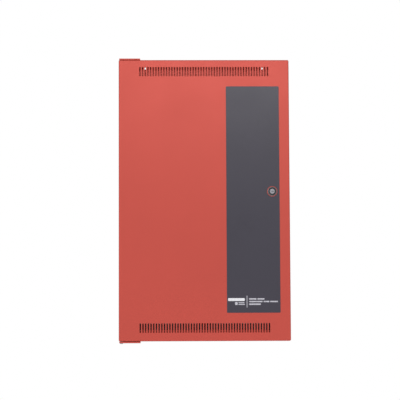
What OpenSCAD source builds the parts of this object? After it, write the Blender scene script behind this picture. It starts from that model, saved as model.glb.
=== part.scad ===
// Wall-mounted amplifier cabinet of a fire alarm system: a steel backbox with a vented,
// hinged and locked door. Every piece is drawn flat on the wall, x to the right, y up and
// z out of the wall, and on_wall() stands it up.

/* [Backbox] */
// Width of the backbox
box_w = 368.3; // [368:0.1:460]
// Height of the backbox
box_h = 628.65; // [620:0.05:780]
// Depth of the backbox, from the wall to its front lips
box_d = 98.3; // [98:0.1:125]
// Thickness of the sheet steel in the backbox and the door
sheet = 1.5; // [1.2:0.1:1.8]
// Width of the front lips down the sides
side_lip = 12; // [11:0.5:13]
// Width of the front lip at the top
head_lip = 16; // [12:0.5:24]
// Width of the front lip at the bottom
foot_lip = 6; // [4:0.5:16]
// Radius of the four fixing holes
fixing_r = 3.6; // [3:0.1:4.5]
// Distance of the fixing holes from the sides
fixing_in_x = 31.75; // [25:0.05:45]
// Distance of the fixing holes from the top and the bottom
fixing_in_y = 34.925; // [25:0.025:45]
// Distance of the hanging keyholes from the middle
keyhole_x = 76.2; // [50:0.1:110]
// Radius of the wide part of a keyhole
keyhole_r = 7; // [6:0.5:9]
// Radius of the conduit knockouts
knockout_r = 11.1; // [10:0.1:14]
// Distance of the knockouts' centres from the wall
knockout_out = 45; // [40:1:60]
// Distance between the knockouts in the top wall
knockout_pitch = 80; // [50:1:90]

/* [Door] */
// How far the door stands past each side of the backbox
overlap_x = 19.05; // [19:0.05:26]
// How far the door stands past the top and the bottom of the backbox
overlap_z = 20.95; // [18:0.05:26]
// Depth of the door's folded edge
door_depth = 19.3; // [18.5:0.1:22]
// Gap between the backbox's lips and the door
door_gap = 0.5; // [0.3:0.1:1]
// Radius of the door's corners
corner_r = 3; // [2.5:0.1:6]
// Radius of the holes that the door hangs from while it is painted
paint_hole_r = 2.5; // [1.5:0.1:3]
// Distance of the paint holes from the middle
paint_hole_x = 140; // [100:1:160]

/* [Vent slots] */
// Width of a slot
slot_w = 3.2; // [2:0.1:4]
// Height of a slot
slot_h = 22.7; // [10:0.1:25]
// Distance from slot to slot
slot_pitch = 6.35; // [5.5:0.05:10]
// Distance of the first slot from the door's edge
slot_margin = 50.8; // [40:0.1:80]
// Height of the top row's middle under the door's top edge
top_row_down = 28.15; // [24:0.05:40]
// Height of the bottom row's middle over the door's bottom edge
bottom_row_up = 30.8; // [24:0.1:40]

/* [Hinges] */
// Distance of the hinge line from the door's left edge
hinge_in = 6.5; // [6:0.1:7]
// Radius of the hinge pins
pin_r = 2.95; // [2.4:0.05:3.2]
// Running clearance of the pins in the door
pin_clear = 0.05; // [0.02:0.01:0.1]
// Thickness of the hinge brackets
bracket_t = 3; // [2.4:0.1:3.4]
// Width of the hinge tabs
tab_w = 50; // [40:0.1:60]
// Gap between the door and the top tab
tab_gap = 0.6; // [0.4:0.1:4]
// Thickness of the washer that carries the door
washer_t = 1; // [0.8:0.1:2]
// Radius of the rivets' shanks
rivet_r = 2.4; // [2:0.1:3]

/* [Label] */
// Width of the label
label_w = 126.5; // [100:0.5:140]
// Height of the label
label_h = 540.6; // [300:0.1:560]
// Thickness of the label
label_t = 0.5; // [0.3:0.05:1]
// Distance of the label from the door's right edge
label_in = 24.3; // [20:0.1:40]
// Distance of the label from the door's top edge
label_down = 63.9; // [50:0.1:80]
// Radius of the hole in the label round the lock
label_hole_r = 12.4; // [12:0.1:16]

/* [Lock] */
// Distance of the lock from the door's right edge
lock_in = 41.8; // [40:0.1:43]
// Height of the lock above the middle of the door
lock_up = 18.9; // [-60:0.1:80]
// Radius of the lock's bezel
bezel_r = 11; // [10:0.1:12]
// How far the bezel stands out of the door
bezel_h = 3.5; // [2:0.1:5]
// Radius of the lock's threaded barrel
barrel_r = 9.5; // [8:0.1:9.5]
// Radius of the turning plug
plug_r = 5.2; // [4.5:0.1:6]
// Running clearance of the plug in the barrel
plug_clear = 0.05; // [0.02:0.01:0.1]
// Thickness of the cam
cam_t = 2; // [1.5:0.1:2.5]
// Distance from the cam to the inside of the lip that it holds behind
cam_gap = 1; // [0.8:0.1:2]

/* [Chassis] */
// Height of the chassis plate off the back wall
plate_out = 12.5; // [11:0.5:14]
// Distance of the chassis plate from the side walls
plate_side_gap = 10.65; // [8:0.05:16]
// Height of the wiring space over the chassis plate
wiring_space = 58; // [50:0.5:80]
// Space over the batteries, under the chassis plate
battery_headroom = 24; // [22:0.5:34]
// Height of the boards' standoffs
standoff_h = 11.5; // [10:0.5:13]
// Thickness of the circuit boards
board_t = 1.6; // [1:0.1:2]

/* [Batteries] */
// Width of a battery
battery_w = 181; // [150:0.5:181]
// Height of a battery's case
battery_h = 167; // [140:0.5:175]
// Depth of a battery
battery_d = 76.2; // [60:0.1:78]
// Gap between the two batteries
battery_gap = 2; // [1:0.1:3]
// Thickness of the rubber blocks behind the batteries
battery_pad_t = 12.5; // [6:0.5:14]
// Thickness of the rubber strips under the batteries
battery_mat_t = 2.8; // [2:0.1:5]

/* [Controls] */
// Distance from switch lever to switch lever
dip_pitch = 2.54; // [2.5:0.01:3]
// Travel of a switch lever
dip_travel = 1.8; // [1:0.1:2]
// Clearance round a switch lever
dip_clear = 0.15; // [0.1:0.01:0.2]
// Radius of the reset button's plunger
button_r = 3.5; // [2.5:0.1:5]
// Travel of the reset button
button_travel = 0.5; // [0.3:0.1:1]
// Running clearance of the button and of the trimmer's rotor
control_clear = 0.08; // [0.03:0.01:0.1]
// Radius of the trimmer's rotor
rotor_r = 3; // [2:0.1:4]

/* [Hidden] */
$fn = 48;

// How far a cutting shape runs past the face that it opens
past = 1;
// Clearance of a screw in its hole
screw_clear = 0.1;

// Backbox
right = box_w / 2;
top = box_h / 2;
inner_right = right - sheet;
inner_top = top - sheet;
keyhole_slot = 12;
slug_recess = 0.3;

// Door
door_w = box_w + 2 * overlap_x;
door_h = box_h + 2 * overlap_z;
door_right = door_w / 2;
door_top = door_h / 2;
door_back = box_d + door_gap;
door_front = door_back + door_depth;
door_inside = door_front - sheet;
return_edge = 0.5;
paint_hole_in = 3.8;

// Hinges
hinge_x = hinge_in - door_right;
hinge_out = door_front - 9.9;
tab_left = 1.3 - door_right;
tab_right = tab_left + tab_w;
tab_front = door_front;
web_front = box_d - 3;
bracket_foot = 34;
pin_in_door = 3;
pin_head_r = 3.25;
pin_head_h = 1.8;
seat_gap = 0.05;
rivet_head_r = 4.4;
rivet_head_h = 1.2;

// Lock
lock_x = door_right - lock_in;
bezel_bevel = 1.8;
barrel_flat = barrel_r - 1.5;
barrel_back = door_front - 21.1;
plug_flange_r = plug_r + 0.6;
plug_flange_t = 1;
plug_face = door_front + bezel_h - 0.5;
nut_t = 3.5;
nut_across_corners = 2 * (barrel_r + 4.4);
cam_front = box_d - sheet - cam_gap;
cam_back = cam_front - cam_t;
cam_tip = inner_right - 1.75 - lock_x;
cam_w = 12;
cam_hub_r = 8;
tail_w = 6;
cam_screw_r = 2;

// Chassis plate
plate_back = sheet + plate_out;
plate_face = plate_back + sheet;
plate_right = inner_right - plate_side_gap;
plate_flange = 11;
battery_bottom = battery_mat_t - inner_top;
battery_top = battery_bottom + battery_h;
plate_bottom = battery_top + battery_headroom;
plate_top = inner_top - wiring_space;
stud_r = 2.5;
stud_x = plate_right - 22;
stud_edge = 8;
nut_h = 4;

// Boards, each placed by its lower left corner
board_edge = 4;
board_back = plate_face + standoff_h;
board_front = board_back + board_t;
main_w = 170;
main_h = 250;
main_x = plate_right - board_edge / 2 - main_w;
main_y = plate_top - board_edge - main_h;
charger_h = 100;
charger_y = main_y - 10 - charger_h;
amp_w = 48;
amp_h = 145;
sink_w = 110;
sink_h = amp_h;
sink_x = board_edge - plate_right;
sink_y = plate_top - 2 * stud_edge - sink_h;
amp_x = sink_x + sink_w + board_edge;
amp_y = sink_y;
standoff_r = 3;
standoff_in = 5;
board_screw_r = 1.5;

// Terminal blocks
way = 5.08;
block_deep = 9;
block_h = 11;

// Controls on the main board
dip_at = [24, 52];
button_at = [62, 52];
trimmer_at = [96, 52];
dip_ways = 4;
dip_w = dip_pitch * dip_ways + 1.8;
dip_h = 10;
dip_body_t = 5.2;
dip_shell = 1;
lever = [1.2, 1.6];
lever_foot = [1.6, 3];
button_case = button_r * 2 + 5;
button_case_t = 7;
button_out = 2.5;
trimmer_case = rotor_r * 2 + 3.6;
trimmer_case_t = 5;

// Heat sink
sink_base = 6;
sink_out = 46.5;
sink_fins = 11;
fin_t = 1.8;
fin_pitch = 7.6;
transistor = [20, 15.6, 5];
transistor_x = sink_x + sink_w - transistor.x - 4;
transistor_y = sink_y + 12;
transistor_pitch = 35;

// Mains transformer
core = [84, 45, 70];
leg = 28;
yoke = 14;
core_x = 66 - plate_right;
core_y = plate_bottom + 50;
strap_t = 1.5;
strap_h = 40;
foot_w = 20;
coil_out = 13;
coil_gap = 0.3;

// Toroidal transformer, over the mains transformer
toroid_r = 48;
toroid_hole_r = 16;
toroid_h = 42;
toroid_x = 60 - plate_right;
toroid_y = core_y + core.y / 2 + coil_out + 6 + toroid_r;
toroid_pad_t = 2;
toroid_bolt_r = 4;

// Studs that carry the chassis plate, in the strips that its parts leave free
stud_heights = [plate_bottom + 22, toroid_y + toroid_r + 11, plate_top - stud_edge];

// Mains terminals and fuses
mains_x = core_x + 68;
mains_y = plate_bottom + 12;
mains_w = 22;
mains_h = 48;
mains_t = 16;
mains_rib = 6;
mains_channel = 4;
cover_t = 1.5;
fuse_x = mains_x + 5;
fuse_y = mains_y + mains_h + 22;
fuse_pitch = 19;
fuse_r = 2.6;
fuse_l = 20;

// Batteries
battery_back = sheet + battery_pad_t;
battery_front = battery_back + battery_d;
bar_h = 25;
bar_y = battery_bottom + battery_h / 2;
bar_front = box_d - sheet;
bar_back = bar_front - sheet;
bar_screw_x = (right - side_lip + inner_right) / 2;
lid_h = 18;
terminal_in = 18;
terminal_out = battery_front - 20;
barrel_h = 8;

// Routes of the leads, and their radius
lead_r = 1.8;
red_route = [[163, -134, 70], [163, -126, 70], [154, -121, 67], [112, -119, 56], [90, -118, 44],
    [83, -113, 36], [83, -103, 33.5]];
black_route = [[-163, -134, 70], [-163, -128, 71], [-154, -124, 73], [-120, -122, 74], [-40, -122, 74],
    [20, -121, 66], [52, -119, 50], [66, -114, 38], [68, -103, 33.5]];
link_route = [[-20, -134, 70], [-20, -129, 69], [-12, -127, 64], [0, -127, 62], [12, -127, 64],
    [20, -129, 69], [20, -134, 70]];
live_route = [[-80, -98, 64], [-70, -98, 62], [-56, -97, 50], [-46, -95, 36], [-38, -94, 29.5],
    [-30, -94, 29.5]];
neutral_route = [[-80, -98, 40], [-68, -98, 38], [-54, -90, 34], [-46, -84, 31], [-38, -83, 29.5],
    [-30, -83, 29.5]];
toroid_route = [[-67, 26, 40], [-58, 30, 42], [-44, 50, 46], [-34, 76, 46], [-30, 88, 40], [-30, 100, 33]];

module on_wall() rotate([90, 0, 0]) children();

// A box between its low and high corners
module block(low, high) translate(low) cube(high - low);

// A round bar out of the wall
module bar(x, y, low, high, r) translate([x, y, low]) cylinder(h = high - low, r = r);

// A round bar that runs up the cabinet
module upright(x, z, low, high, r) translate([x, high, z]) rotate([90, 0, 0])
    cylinder(h = high - low, r = r);

module hex_bar(x, y, low, high, across_corners)
    translate([x, y, low]) cylinder(h = high - low, r = across_corners / 2, $fn = 6);

module rounded(w, h, r) {
    square([w - 2 * r, h], center = true);
    square([w, h - 2 * r], center = true);
    for (i = [-1, 1], j = [-1, 1]) translate([i * (w / 2 - r), j * (h / 2 - r)]) circle(r);
}

// A pan head screw that goes in towards the wall, with its head's underside at seat
module screw(x, y, seat, length, r) {
    head_h = 1.3 * r;
    difference() {
        union() {
            bar(x, y, seat - length, seat + 0.1, r);
            bar(x, y, seat, seat + head_h, 2 * r);
        }
        for (turn = [0, 90]) translate([x, y, seat + head_h]) rotate(turn)
            cube([2.4 * r, 0.4 * r, head_h], center = true);
    }
}

module nut(x, y, low, r) difference() {
    hex_bar(x, y, low, low + nut_h, 3.7 * r);
    bar(x, y, low - past, low + nut_h + past, r + screw_clear);
}

function unit(v) = v / norm(v);

// Points along a route, with a ring about every step
function spaced(route, step) = [
    for (i = [0:len(route) - 2])
        let (n = max(1, round(norm(route[i + 1] - route[i]) / step)))
        for (k = [0:n - 1]) route[i] + (route[i + 1] - route[i]) * k / n,
    route[len(route) - 1]
];

// Direction of the route at each of its points
function heading(points, i) = unit(
    points[min(i + 1, len(points) - 1)] - points[max(i - 1, 0)]
);

// A lead of eight sides along a route
module lead(route, r) {
    points = spaced(route, 5 * r);
    last = len(points) - 1;
    sides = 8;
    rings = [
        for (i = [0:last])
            let (
                ahead = i == 0 ? unit(points[1] - points[0]) : i == last ? unit(points[i] - points[i - 1])
                    : heading(points, i),
                across = unit(cross(ahead, [0.31, 0.17, 0.94])),
                up = cross(across, ahead)
            )
            for (k = [0:sides - 1])
                points[i] + r * (cos(360 * k / sides) * across + sin(360 * k / sides) * up)
    ];
    polyhedron(rings, concat(
        [[for (k = [0:sides - 1]) k]],
        [for (i = [0:last - 1], k = [0:sides - 1])
            [i * sides + k, (i + 1) * sides + k, (i + 1) * sides + (k + 1) % sides]],
        [for (i = [0:last - 1], k = [0:sides - 1])
            [i * sides + k, (i + 1) * sides + (k + 1) % sides, i * sides + (k + 1) % sides]],
        [[for (k = [sides - 1:-1:0]) last * sides + k]]
    ));
}

// Round knockouts in the top and side walls, between two depths under the outside face
module knockouts(r, from, to) {
    for (i = [0:3]) upright((i - 1.5) * knockout_pitch, knockout_out, top - to, top - from, r);
    for (side = [-1, 1], down = [95, 175])
        translate([side * (right - from), top - down, knockout_out]) rotate([0, -90 * side, 0])
            cylinder(h = to - from, r = r);
}

module rivet_places() for (x = [tab_left + 25, tab_right - 8.5])
    translate([x, 0, web_front - bracket_foot + 10]) children();

module backbox() color("firebrick") on_wall() difference() {
    block([-right, -top, 0], [right, top, box_d - sheet]);
    block([-inner_right, -inner_top, sheet], [inner_right, inner_top, box_d + past]);
    for (i = [-1, 1], j = [-1, 1])
        bar(i * (right - fixing_in_x), j * (top - fixing_in_y), -past, sheet + past, fixing_r);
    for (i = [-1, 1]) {
        y = top - fixing_in_y;
        bar(i * keyhole_x, y, -past, sheet + past, keyhole_r);
        bar(i * keyhole_x, y + keyhole_slot, -past, sheet + past, fixing_r);
        block([i * keyhole_x - fixing_r, y, -past],
            [i * keyhole_x + fixing_r, y + keyhole_slot, sheet + past]);
    }
    knockouts(knockout_r, -past, sheet + past);
    rivet_places() upright(0, 0, -top - past, top + past, rivet_r);
}

// The four lips, welded on the edges of the backbox's sides as one frame
module backbox_lips() color("firebrick") on_wall() difference() {
    block([-right, -top, box_d - sheet], [right, top, box_d]);
    block([side_lip - right, foot_lip - top, box_d - 2 * sheet],
        [right - side_lip, top - head_lip, box_d + past]);
    for (i = [-1, 1]) bar(i * bar_screw_x, bar_y, bar_front - past, box_d + past, 2 + screw_clear);
}

module knockout_plugs() color("firebrick") on_wall() knockouts(knockout_r, slug_recess, sheet);

// A bracket bent from one strip: a foot riveted to the backbox, a web, and a tab over the door's edge
module hinge_bracket(gap) difference() {
    tab = door_top + gap;
    union() {
        block([2 - right, top, web_front - bracket_foot], [tab_right, top + bracket_t, web_front]);
        block([tab_left, top, web_front - bracket_t], [tab_right, tab + bracket_t, web_front]);
        block([tab_left, tab, web_front - bracket_t], [tab_right, tab + bracket_t, tab_front]);
    }
    upright(hinge_x, hinge_out, tab - past, tab + bracket_t + past, pin_r);
    rivet_places() upright(0, 0, top - past, top + bracket_t + past, rivet_r);
}

module hinge_bracket_top() color("firebrick") on_wall() hinge_bracket(tab_gap);

module hinge_bracket_bottom() color("firebrick") on_wall() mirror([0, 1, 0])
    hinge_bracket(washer_t + seat_gap);

module hinge_rivets() color("firebrick") on_wall() for (end = [0, 1]) mirror([0, end, 0]) rivet_places() {
    upright(0, 0, inner_top - rivet_head_h, top + bracket_t + rivet_head_h, rivet_r);
    upright(0, 0, inner_top - rivet_head_h, inner_top, rivet_head_r - 0.6);
    upright(0, 0, top + bracket_t, top + bracket_t + rivet_head_h, rivet_head_r);
}

module hinge_pins() color("silver") on_wall() {
    upright(hinge_x, hinge_out, door_top - sheet - pin_in_door, door_top + tab_gap + bracket_t, pin_r);
    mirror([0, 1, 0]) {
        head = door_top + washer_t + seat_gap + bracket_t;
        upright(hinge_x, hinge_out, door_top - sheet - pin_in_door, head + 0.1, pin_r);
        upright(hinge_x, hinge_out, head, head + pin_head_h, pin_head_r);
    }
}

module hinge_washer() color("white") on_wall() mirror([0, 1, 0]) difference() {
    upright(hinge_x, hinge_out, door_top + seat_gap, door_top + seat_gap + washer_t, pin_r + 2.5);
    upright(hinge_x, hinge_out, door_top - past, door_top + washer_t + past, pin_r + pin_clear);
}

module stud_places() for (side = [-1, 1], y = stud_heights) translate([side * stud_x, y, 0]) children();

module chassis_plate() color("lightgray") on_wall() difference() {
    union() {
        block([-plate_right, plate_bottom, plate_back], [plate_right, plate_top, plate_face]);
        for (side = [0, 1]) mirror([side, 0, 0])
            block([plate_right - sheet, plate_bottom, plate_face - plate_flange],
                [plate_right, plate_top, plate_face]);
    }
    stud_places() bar(0, 0, plate_back - past, plate_face + past, stud_r + screw_clear);
    bar(toroid_x, toroid_y, plate_back - past, plate_face + past, toroid_bolt_r + screw_clear);
    foot_screw_places() bar(0, 0, plate_back - past, plate_face + past, 2 + screw_clear);
    sink_screw_places() bar(0, 0, plate_back - past, plate_face + past, 2 + screw_clear);
    mains_screw_places() bar(0, 0, plate_back - past, plate_face + past, board_screw_r + screw_clear);
}

module chassis_studs() color("silver") on_wall() stud_places() {
    bar(0, 0, sheet, plate_back, 4);
    bar(0, 0, plate_back - 0.1, plate_face + nut_h + 1.5, stud_r);
}

module hex_nuts() color("silver") on_wall() {
    stud_places() nut(0, 0, plate_face, stud_r);
    nut(toroid_x, toroid_y, plate_back - nut_h, toroid_bolt_r);
}

// The corner holes of a board, placed from its lower left corner
module board_corners(x, y, w, h)
    for (dx = [standoff_in, w - standoff_in], dy = [standoff_in, h - standoff_in])
        translate([x + dx, y + dy, 0]) children();

module board_fixings() {
    board_corners(main_x, main_y, main_w, main_h) children();
    board_corners(main_x, charger_y, main_w, charger_h) children();
    board_corners(amp_x, amp_y, amp_w, amp_h) children();
    for (x = [standoff_in, main_w - standoff_in])
        translate([main_x + x, main_y + main_h / 2, 0]) children();
}

module board(x, y, w, h) difference() {
    block([x, y, board_back], [x + w, y + h, board_front]);
    board_fixings() bar(0, 0, board_back - past, board_front + past, board_screw_r + screw_clear);
}

module main_board() color("seagreen") on_wall() board(main_x, main_y, main_w, main_h);

module charger_board() color("seagreen") on_wall() board(main_x, charger_y, main_w, charger_h);

module amplifier_board() color("seagreen") on_wall() board(amp_x, amp_y, amp_w, amp_h);

module board_standoffs() color("silver") on_wall() board_fixings() difference() {
    hex_bar(0, 0, plate_face, board_back, 2 * standoff_r);
    bar(0, 0, plate_face + 2, board_back + past, board_screw_r + screw_clear);
}

module on_main() translate([main_x, main_y, board_front]) children();

module on_charger() translate([main_x, charger_y, board_front]) children();

module on_amplifier() translate([amp_x, amp_y, board_front]) children();

module foot_screw_places() for (side = [-1, 1], j = [-1, 1])
    translate([core_x + side * (core.x / 2 + strap_t + foot_w - 7), core_y + j * 12, 0]) children();

module sink_screw_places() for (i = [0, 2]) translate([transistor_x + transistor.x / 2,
    transistor_y + (i + 0.5) * transistor_pitch + transistor.y / 2, 0]) children();

module mains_screw_places() for (y = [mains_y + 4, mains_y + mains_h - 4])
    translate([mains_x + mains_w / 2, y, 0]) children();

// All the screws and bolts that aren't part of another piece, the transformer's bolt included
module screws_and_bolts() color("silver") on_wall() {
    toroid_bolt();
    board_fixings() screw(0, 0, board_front, 8, board_screw_r);
    foot_screw_places() screw(0, 0, plate_face + strap_t, 6, 2);
    sink_screw_places() screw(0, 0, plate_face + sink_base, sink_base + 5, 2);
    mains_screw_places() screw(0, 0, plate_face + mains_t - 8, 11, board_screw_r);
    for (side = [-1, 1]) screw(side * bar_screw_x, bar_y, box_d, 2 * sheet + 2, 2);
}

// Each terminal block: its place, its number of ways and the board that it sits on
main_blocks = [[12, 8], [64, 8], [116, 8]];
charger_blocks = [[60, 5], [112, 4]];
amplifier_blocks = [[8, 6]];

module terminal_row(ways) difference() {
    block([0, 0, 0], [ways * way, block_deep, block_h]);
    for (i = [0:ways - 1]) {
        bar((i + 0.5) * way, block_deep / 2, block_h - 2, block_h + past, 1.8);
        block([i * way + 1.2, -past, 3], [(i + 1) * way - 1.2, 1.6, 6.6]);
    }
}

module screw_row(ways) for (i = [0:ways - 1]) difference() {
    bar((i + 0.5) * way, block_deep / 2, block_h - 2, block_h - 0.6, 1.6);
    translate([(i + 0.5) * way, block_deep / 2, block_h - 0.6]) cube([4, 0.5, 0.9], center = true);
}

// The blocks on the top edges are turned so that their wires come in from above
module all_rows() {
    for (b = main_blocks) let ($ways = b[1])
        on_main() translate([b[0] + $ways * way, main_h - 3, 0]) rotate(180) children();
    for (b = charger_blocks) let ($ways = b[1])
        on_charger() translate([b[0], 4, 0]) children();
    for (b = amplifier_blocks) let ($ways = b[1])
        on_amplifier() translate([b[0] + $ways * way, amp_h - 3, 0]) rotate(180) children();
}

module terminal_blocks() color("forestgreen") on_wall() all_rows() terminal_row($ways);

module terminal_screws() color("silver") on_wall() all_rows() screw_row($ways);

module relays() color("white") on_wall() {
    on_main() for (i = [0:5]) block([14 + i * 25, 200, 0], [26 + i * 25, 228, 15.5]);
    on_charger() block([130, 40, 0], [146, 68, 16]);
}

module can(x, y, r, h) {
    bar(x, y, 0, h - 1, r);
    bar(x, y, h - 1.5, h, r - 0.8);
}

module filter_capacitors() color("midnightblue") on_wall() {
    on_charger() for (i = [0:2]) can(24 + i * 30, 64, 12.5, 36);
    on_main() for (i = [0:3]) can(140, 40 + i * 16, 5, 14);
    on_amplifier() for (i = [0:3]) can(18, 34 + i * 19, 8, 28);
}

// Chips by their place, width, height and thickness, with the two headers of the ribbon cable
// and one of the toroid's
main_chips = [[50, 108, 28, 28, 2.6], [98, 116, 12, 22, 3], [20, 112, 10, 20, 3], [24, 156, 18, 10, 3],
    [60, 156, 18, 10, 3], [96, 156, 18, 10, 3], [118, 110, 8, 14, 2.4], [20, 84, 14, 9, 2.4]];
charger_chips = [[18, 22, 20, 9, 3], [112, 74, 12, 16, 4.6], [60, 24, 9, 9, 2.4]];
ribbon_y = 46;
ribbon_w = 30;

module board_chips() color("dimgray") on_wall() {
    on_main() {
        for (c = main_chips) block([c[0], c[1], 0], [c[0] + c[2], c[1] + c[3], c[4]]);
        block([3, amp_y - main_y + ribbon_y - 2, 0], [11, amp_y - main_y + ribbon_y + ribbon_w + 2, 8]);
    }
    on_charger() for (c = charger_chips) block([c[0], c[1], 0], [c[0] + c[2], c[1] + c[3], c[4]]);
    on_amplifier() {
        block([amp_w - 11, ribbon_y - 2, 0], [amp_w - 3, ribbon_y + ribbon_w + 2, 8]);
        block([18, 4, 0], [30, 12, 8]);
    }
}

module status_lamps() color("gold") on_wall() on_main() for (i = [0:7]) {
    bar(20 + i * 14, 24, 0, 3.4, 1.5);
    bar(20 + i * 14, 24, 0, 1, 1.9);
}

// The lever slots of the switch: a narrow slot in the shell over a wider pocket for the lever's foot
module dip_places() on_main() for (i = [0:dip_ways - 1])
    translate([dip_at.x + 0.9 + (i + 0.5) * dip_pitch, dip_at.y + dip_h / 2 - dip_travel / 2, 0])
        children();

module dip_cut(size, low, high) block(
    [-size.x / 2 - dip_clear, -size.y / 2 - dip_clear, low],
    [size.x / 2 + dip_clear, size.y / 2 + dip_clear + dip_travel, high]);

module dip_switch_body() color("crimson") on_wall() difference() {
    on_main() block([dip_at.x, dip_at.y, 0], [dip_at.x + dip_w, dip_at.y + dip_h, dip_body_t]);
    dip_places() {
        dip_cut(lever, 1, dip_body_t + past);
        dip_cut(lever_foot, 1, dip_body_t - dip_shell);
    }
}

module dip_lever(number) on_main()
    translate([dip_at.x + 0.9 + (number - 0.5) * dip_pitch, dip_at.y + dip_h / 2 - dip_travel / 2, 0]) {
        foot_top = dip_body_t - dip_shell - dip_clear;
        block([-lever_foot.x / 2, -lever_foot.y / 2, 1 + dip_clear],
            [lever_foot.x / 2, lever_foot.y / 2, foot_top]);
        block([-lever.x / 2, -lever.y / 2, foot_top - 0.1], [lever.x / 2, lever.y / 2, dip_body_t + 0.7]);
    }

module dip_lever_1() color("white") on_wall() dip_lever(1);

module dip_lever_2() color("white") on_wall() dip_lever(2);

module dip_lever_3() color("white") on_wall() dip_lever(3);

module dip_lever_4() color("white") on_wall() dip_lever(4);

// The plunger's flange stops under the housing's rim and has its travel below it
module button_housing() color("dimgray") on_wall() on_main() translate(button_at) difference() {
    block([-button_case / 2, -button_case / 2, 0], [button_case / 2, button_case / 2, button_case_t]);
    bar(0, 0, 1, button_case_t - 1, button_r + 1 + control_clear);
    bar(0, 0, 1, button_case_t + past, button_r + control_clear);
}

module reset_button() color("firebrick") on_wall() on_main() translate(button_at) {
    bar(0, 0, 1 + button_travel + 0.3, button_case_t - 1 - 0.1, button_r + 1);
    bar(0, 0, button_case_t - 1.2, button_case_t + button_out, button_r);
}

module gain_trimmer_body() color("royalblue") on_wall() on_main() translate(trimmer_at) difference() {
    block([-trimmer_case / 2, -trimmer_case / 2, 0], [trimmer_case / 2, trimmer_case / 2, trimmer_case_t]);
    bar(0, 0, 1.5, trimmer_case_t + past, rotor_r + control_clear);
}

module gain_trimmer_rotor() color("white") on_wall() on_main() translate(trimmer_at) difference() {
    bar(0, 0, 1.6, trimmer_case_t + 0.4, rotor_r);
    translate([0, 0, trimmer_case_t + 0.4]) cube([2 * rotor_r - 1, 0.9, 2], center = true);
}

module heat_sink() color("darkgray") on_wall() {
    difference() {
        block([sink_x, sink_y, plate_face], [sink_x + sink_w, sink_y + sink_h, plate_face + sink_base]);
        sink_screw_places() bar(0, 0, plate_face - past, plate_face + sink_base + past, 2 + screw_clear);
    }
    for (i = [0:sink_fins - 1]) block([sink_x + i * fin_pitch, sink_y, plate_face + sink_base - 0.1],
        [sink_x + i * fin_pitch + fin_t, sink_y + sink_h, plate_face + sink_out]);
}

// Four output transistors on the flat margin, their pins bent up to the amplifier board
module output_transistors() color("dimgray") on_wall() for (i = [0:3]) {
    x = transistor_x;
    y = transistor_y + i * transistor_pitch;
    z = plate_face + sink_base;
    pin_end = amp_x + 4;
    block([x, y, z], [x + transistor.x, y + transistor.y, z + transistor.z]);
    for (j = [-1:1]) {
        pin_y = y + transistor.y / 2 + j * 5.4;
        block([x + transistor.x - 0.1, pin_y - 0.6, z + 2], [pin_end, pin_y + 0.6, z + 2.7]);
        block([pin_end - 0.8, pin_y - 0.6, z + 2], [pin_end, pin_y + 0.6, board_back]);
    }
}

module toroid_ring(low, high, outer, inner, edge) translate([toroid_x, toroid_y, low]) rotate_extrude() {
    h = high - low;
    translate([inner, edge]) square([outer - inner, h - 2 * edge]);
    translate([inner + edge, 0]) square([outer - inner - 2 * edge, h]);
    for (x = [inner + edge, outer - edge], z = [edge, h - edge]) translate([x, z]) circle(edge);
}

module toroid_transformer() color("gold") on_wall() toroid_ring(
    plate_face + toroid_pad_t, plate_face + toroid_pad_t + toroid_h, toroid_r, toroid_hole_r, 10);

module toroid_pads() color("dimgray") on_wall() for (z = [plate_face, plate_face + toroid_pad_t + toroid_h])
    difference() {
        bar(toroid_x, toroid_y, z, z + toroid_pad_t, toroid_r - 6);
        bar(toroid_x, toroid_y, z - past, z + toroid_pad_t + past, toroid_bolt_r + 1);
    }

toroid_stack = plate_face + 2 * toroid_pad_t + toroid_h;

module toroid_washer() color("silver") on_wall() difference() {
    union() {
        bar(toroid_x, toroid_y, toroid_stack, toroid_stack + 1.5, toroid_r - 10);
        bar(toroid_x, toroid_y, toroid_stack, toroid_stack + 3, toroid_hole_r);
    }
    bar(toroid_x, toroid_y, toroid_stack - past, toroid_stack + 4, toroid_bolt_r + screw_clear);
}

module toroid_bolt() {
    bar(toroid_x, toroid_y, plate_back - nut_h - 2, toroid_stack + 3.1, toroid_bolt_r);
    hex_bar(toroid_x, toroid_y, toroid_stack + 3, toroid_stack + 8.3, 3.7 * toroid_bolt_r);
}

module mains_transformer_core() color("dimgray") on_wall()
translate([core_x, core_y, plate_face]) difference() {
    block([-core.x / 2, -core.y / 2, 0], [core.x / 2, core.y / 2, core.z]);
    for (side = [0, 1]) mirror([side, 0, 0])
        block([leg / 2, -core.y, yoke], [core.x / 2 - yoke, core.y, core.z - yoke]);
}

module mains_transformer_coil() color("orange") on_wall()
translate([core_x, core_y, plate_face]) difference() {
    coil_x = core.x / 2 - yoke - coil_gap;
    coil_y = core.y / 2 + coil_out;
    block([-coil_x, -coil_y, yoke], [coil_x, coil_y, core.z - yoke - 2 * coil_gap]);
    block([-leg / 2 - coil_gap, -core.y / 2 - coil_gap, 0],
        [leg / 2 + coil_gap, core.y / 2 + coil_gap, core.z]);
}

module mains_transformer_frame() color("silver") on_wall() difference() {
    translate([core_x, core_y, plate_face]) {
        block([-core.x / 2 - strap_t, -strap_h / 2, core.z],
            [core.x / 2 + strap_t, strap_h / 2, core.z + strap_t]);
        for (side = [0, 1]) mirror([side, 0, 0]) {
            block([core.x / 2, -strap_h / 2, 0], [core.x / 2 + strap_t, strap_h / 2, core.z + strap_t]);
            block([core.x / 2, -strap_h / 2, 0], [core.x / 2 + strap_t + foot_w, strap_h / 2, strap_t]);
        }
    }
    foot_screw_places() bar(0, 0, plate_face - past, plate_face + strap_t + past, 2 + screw_clear);
}

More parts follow.
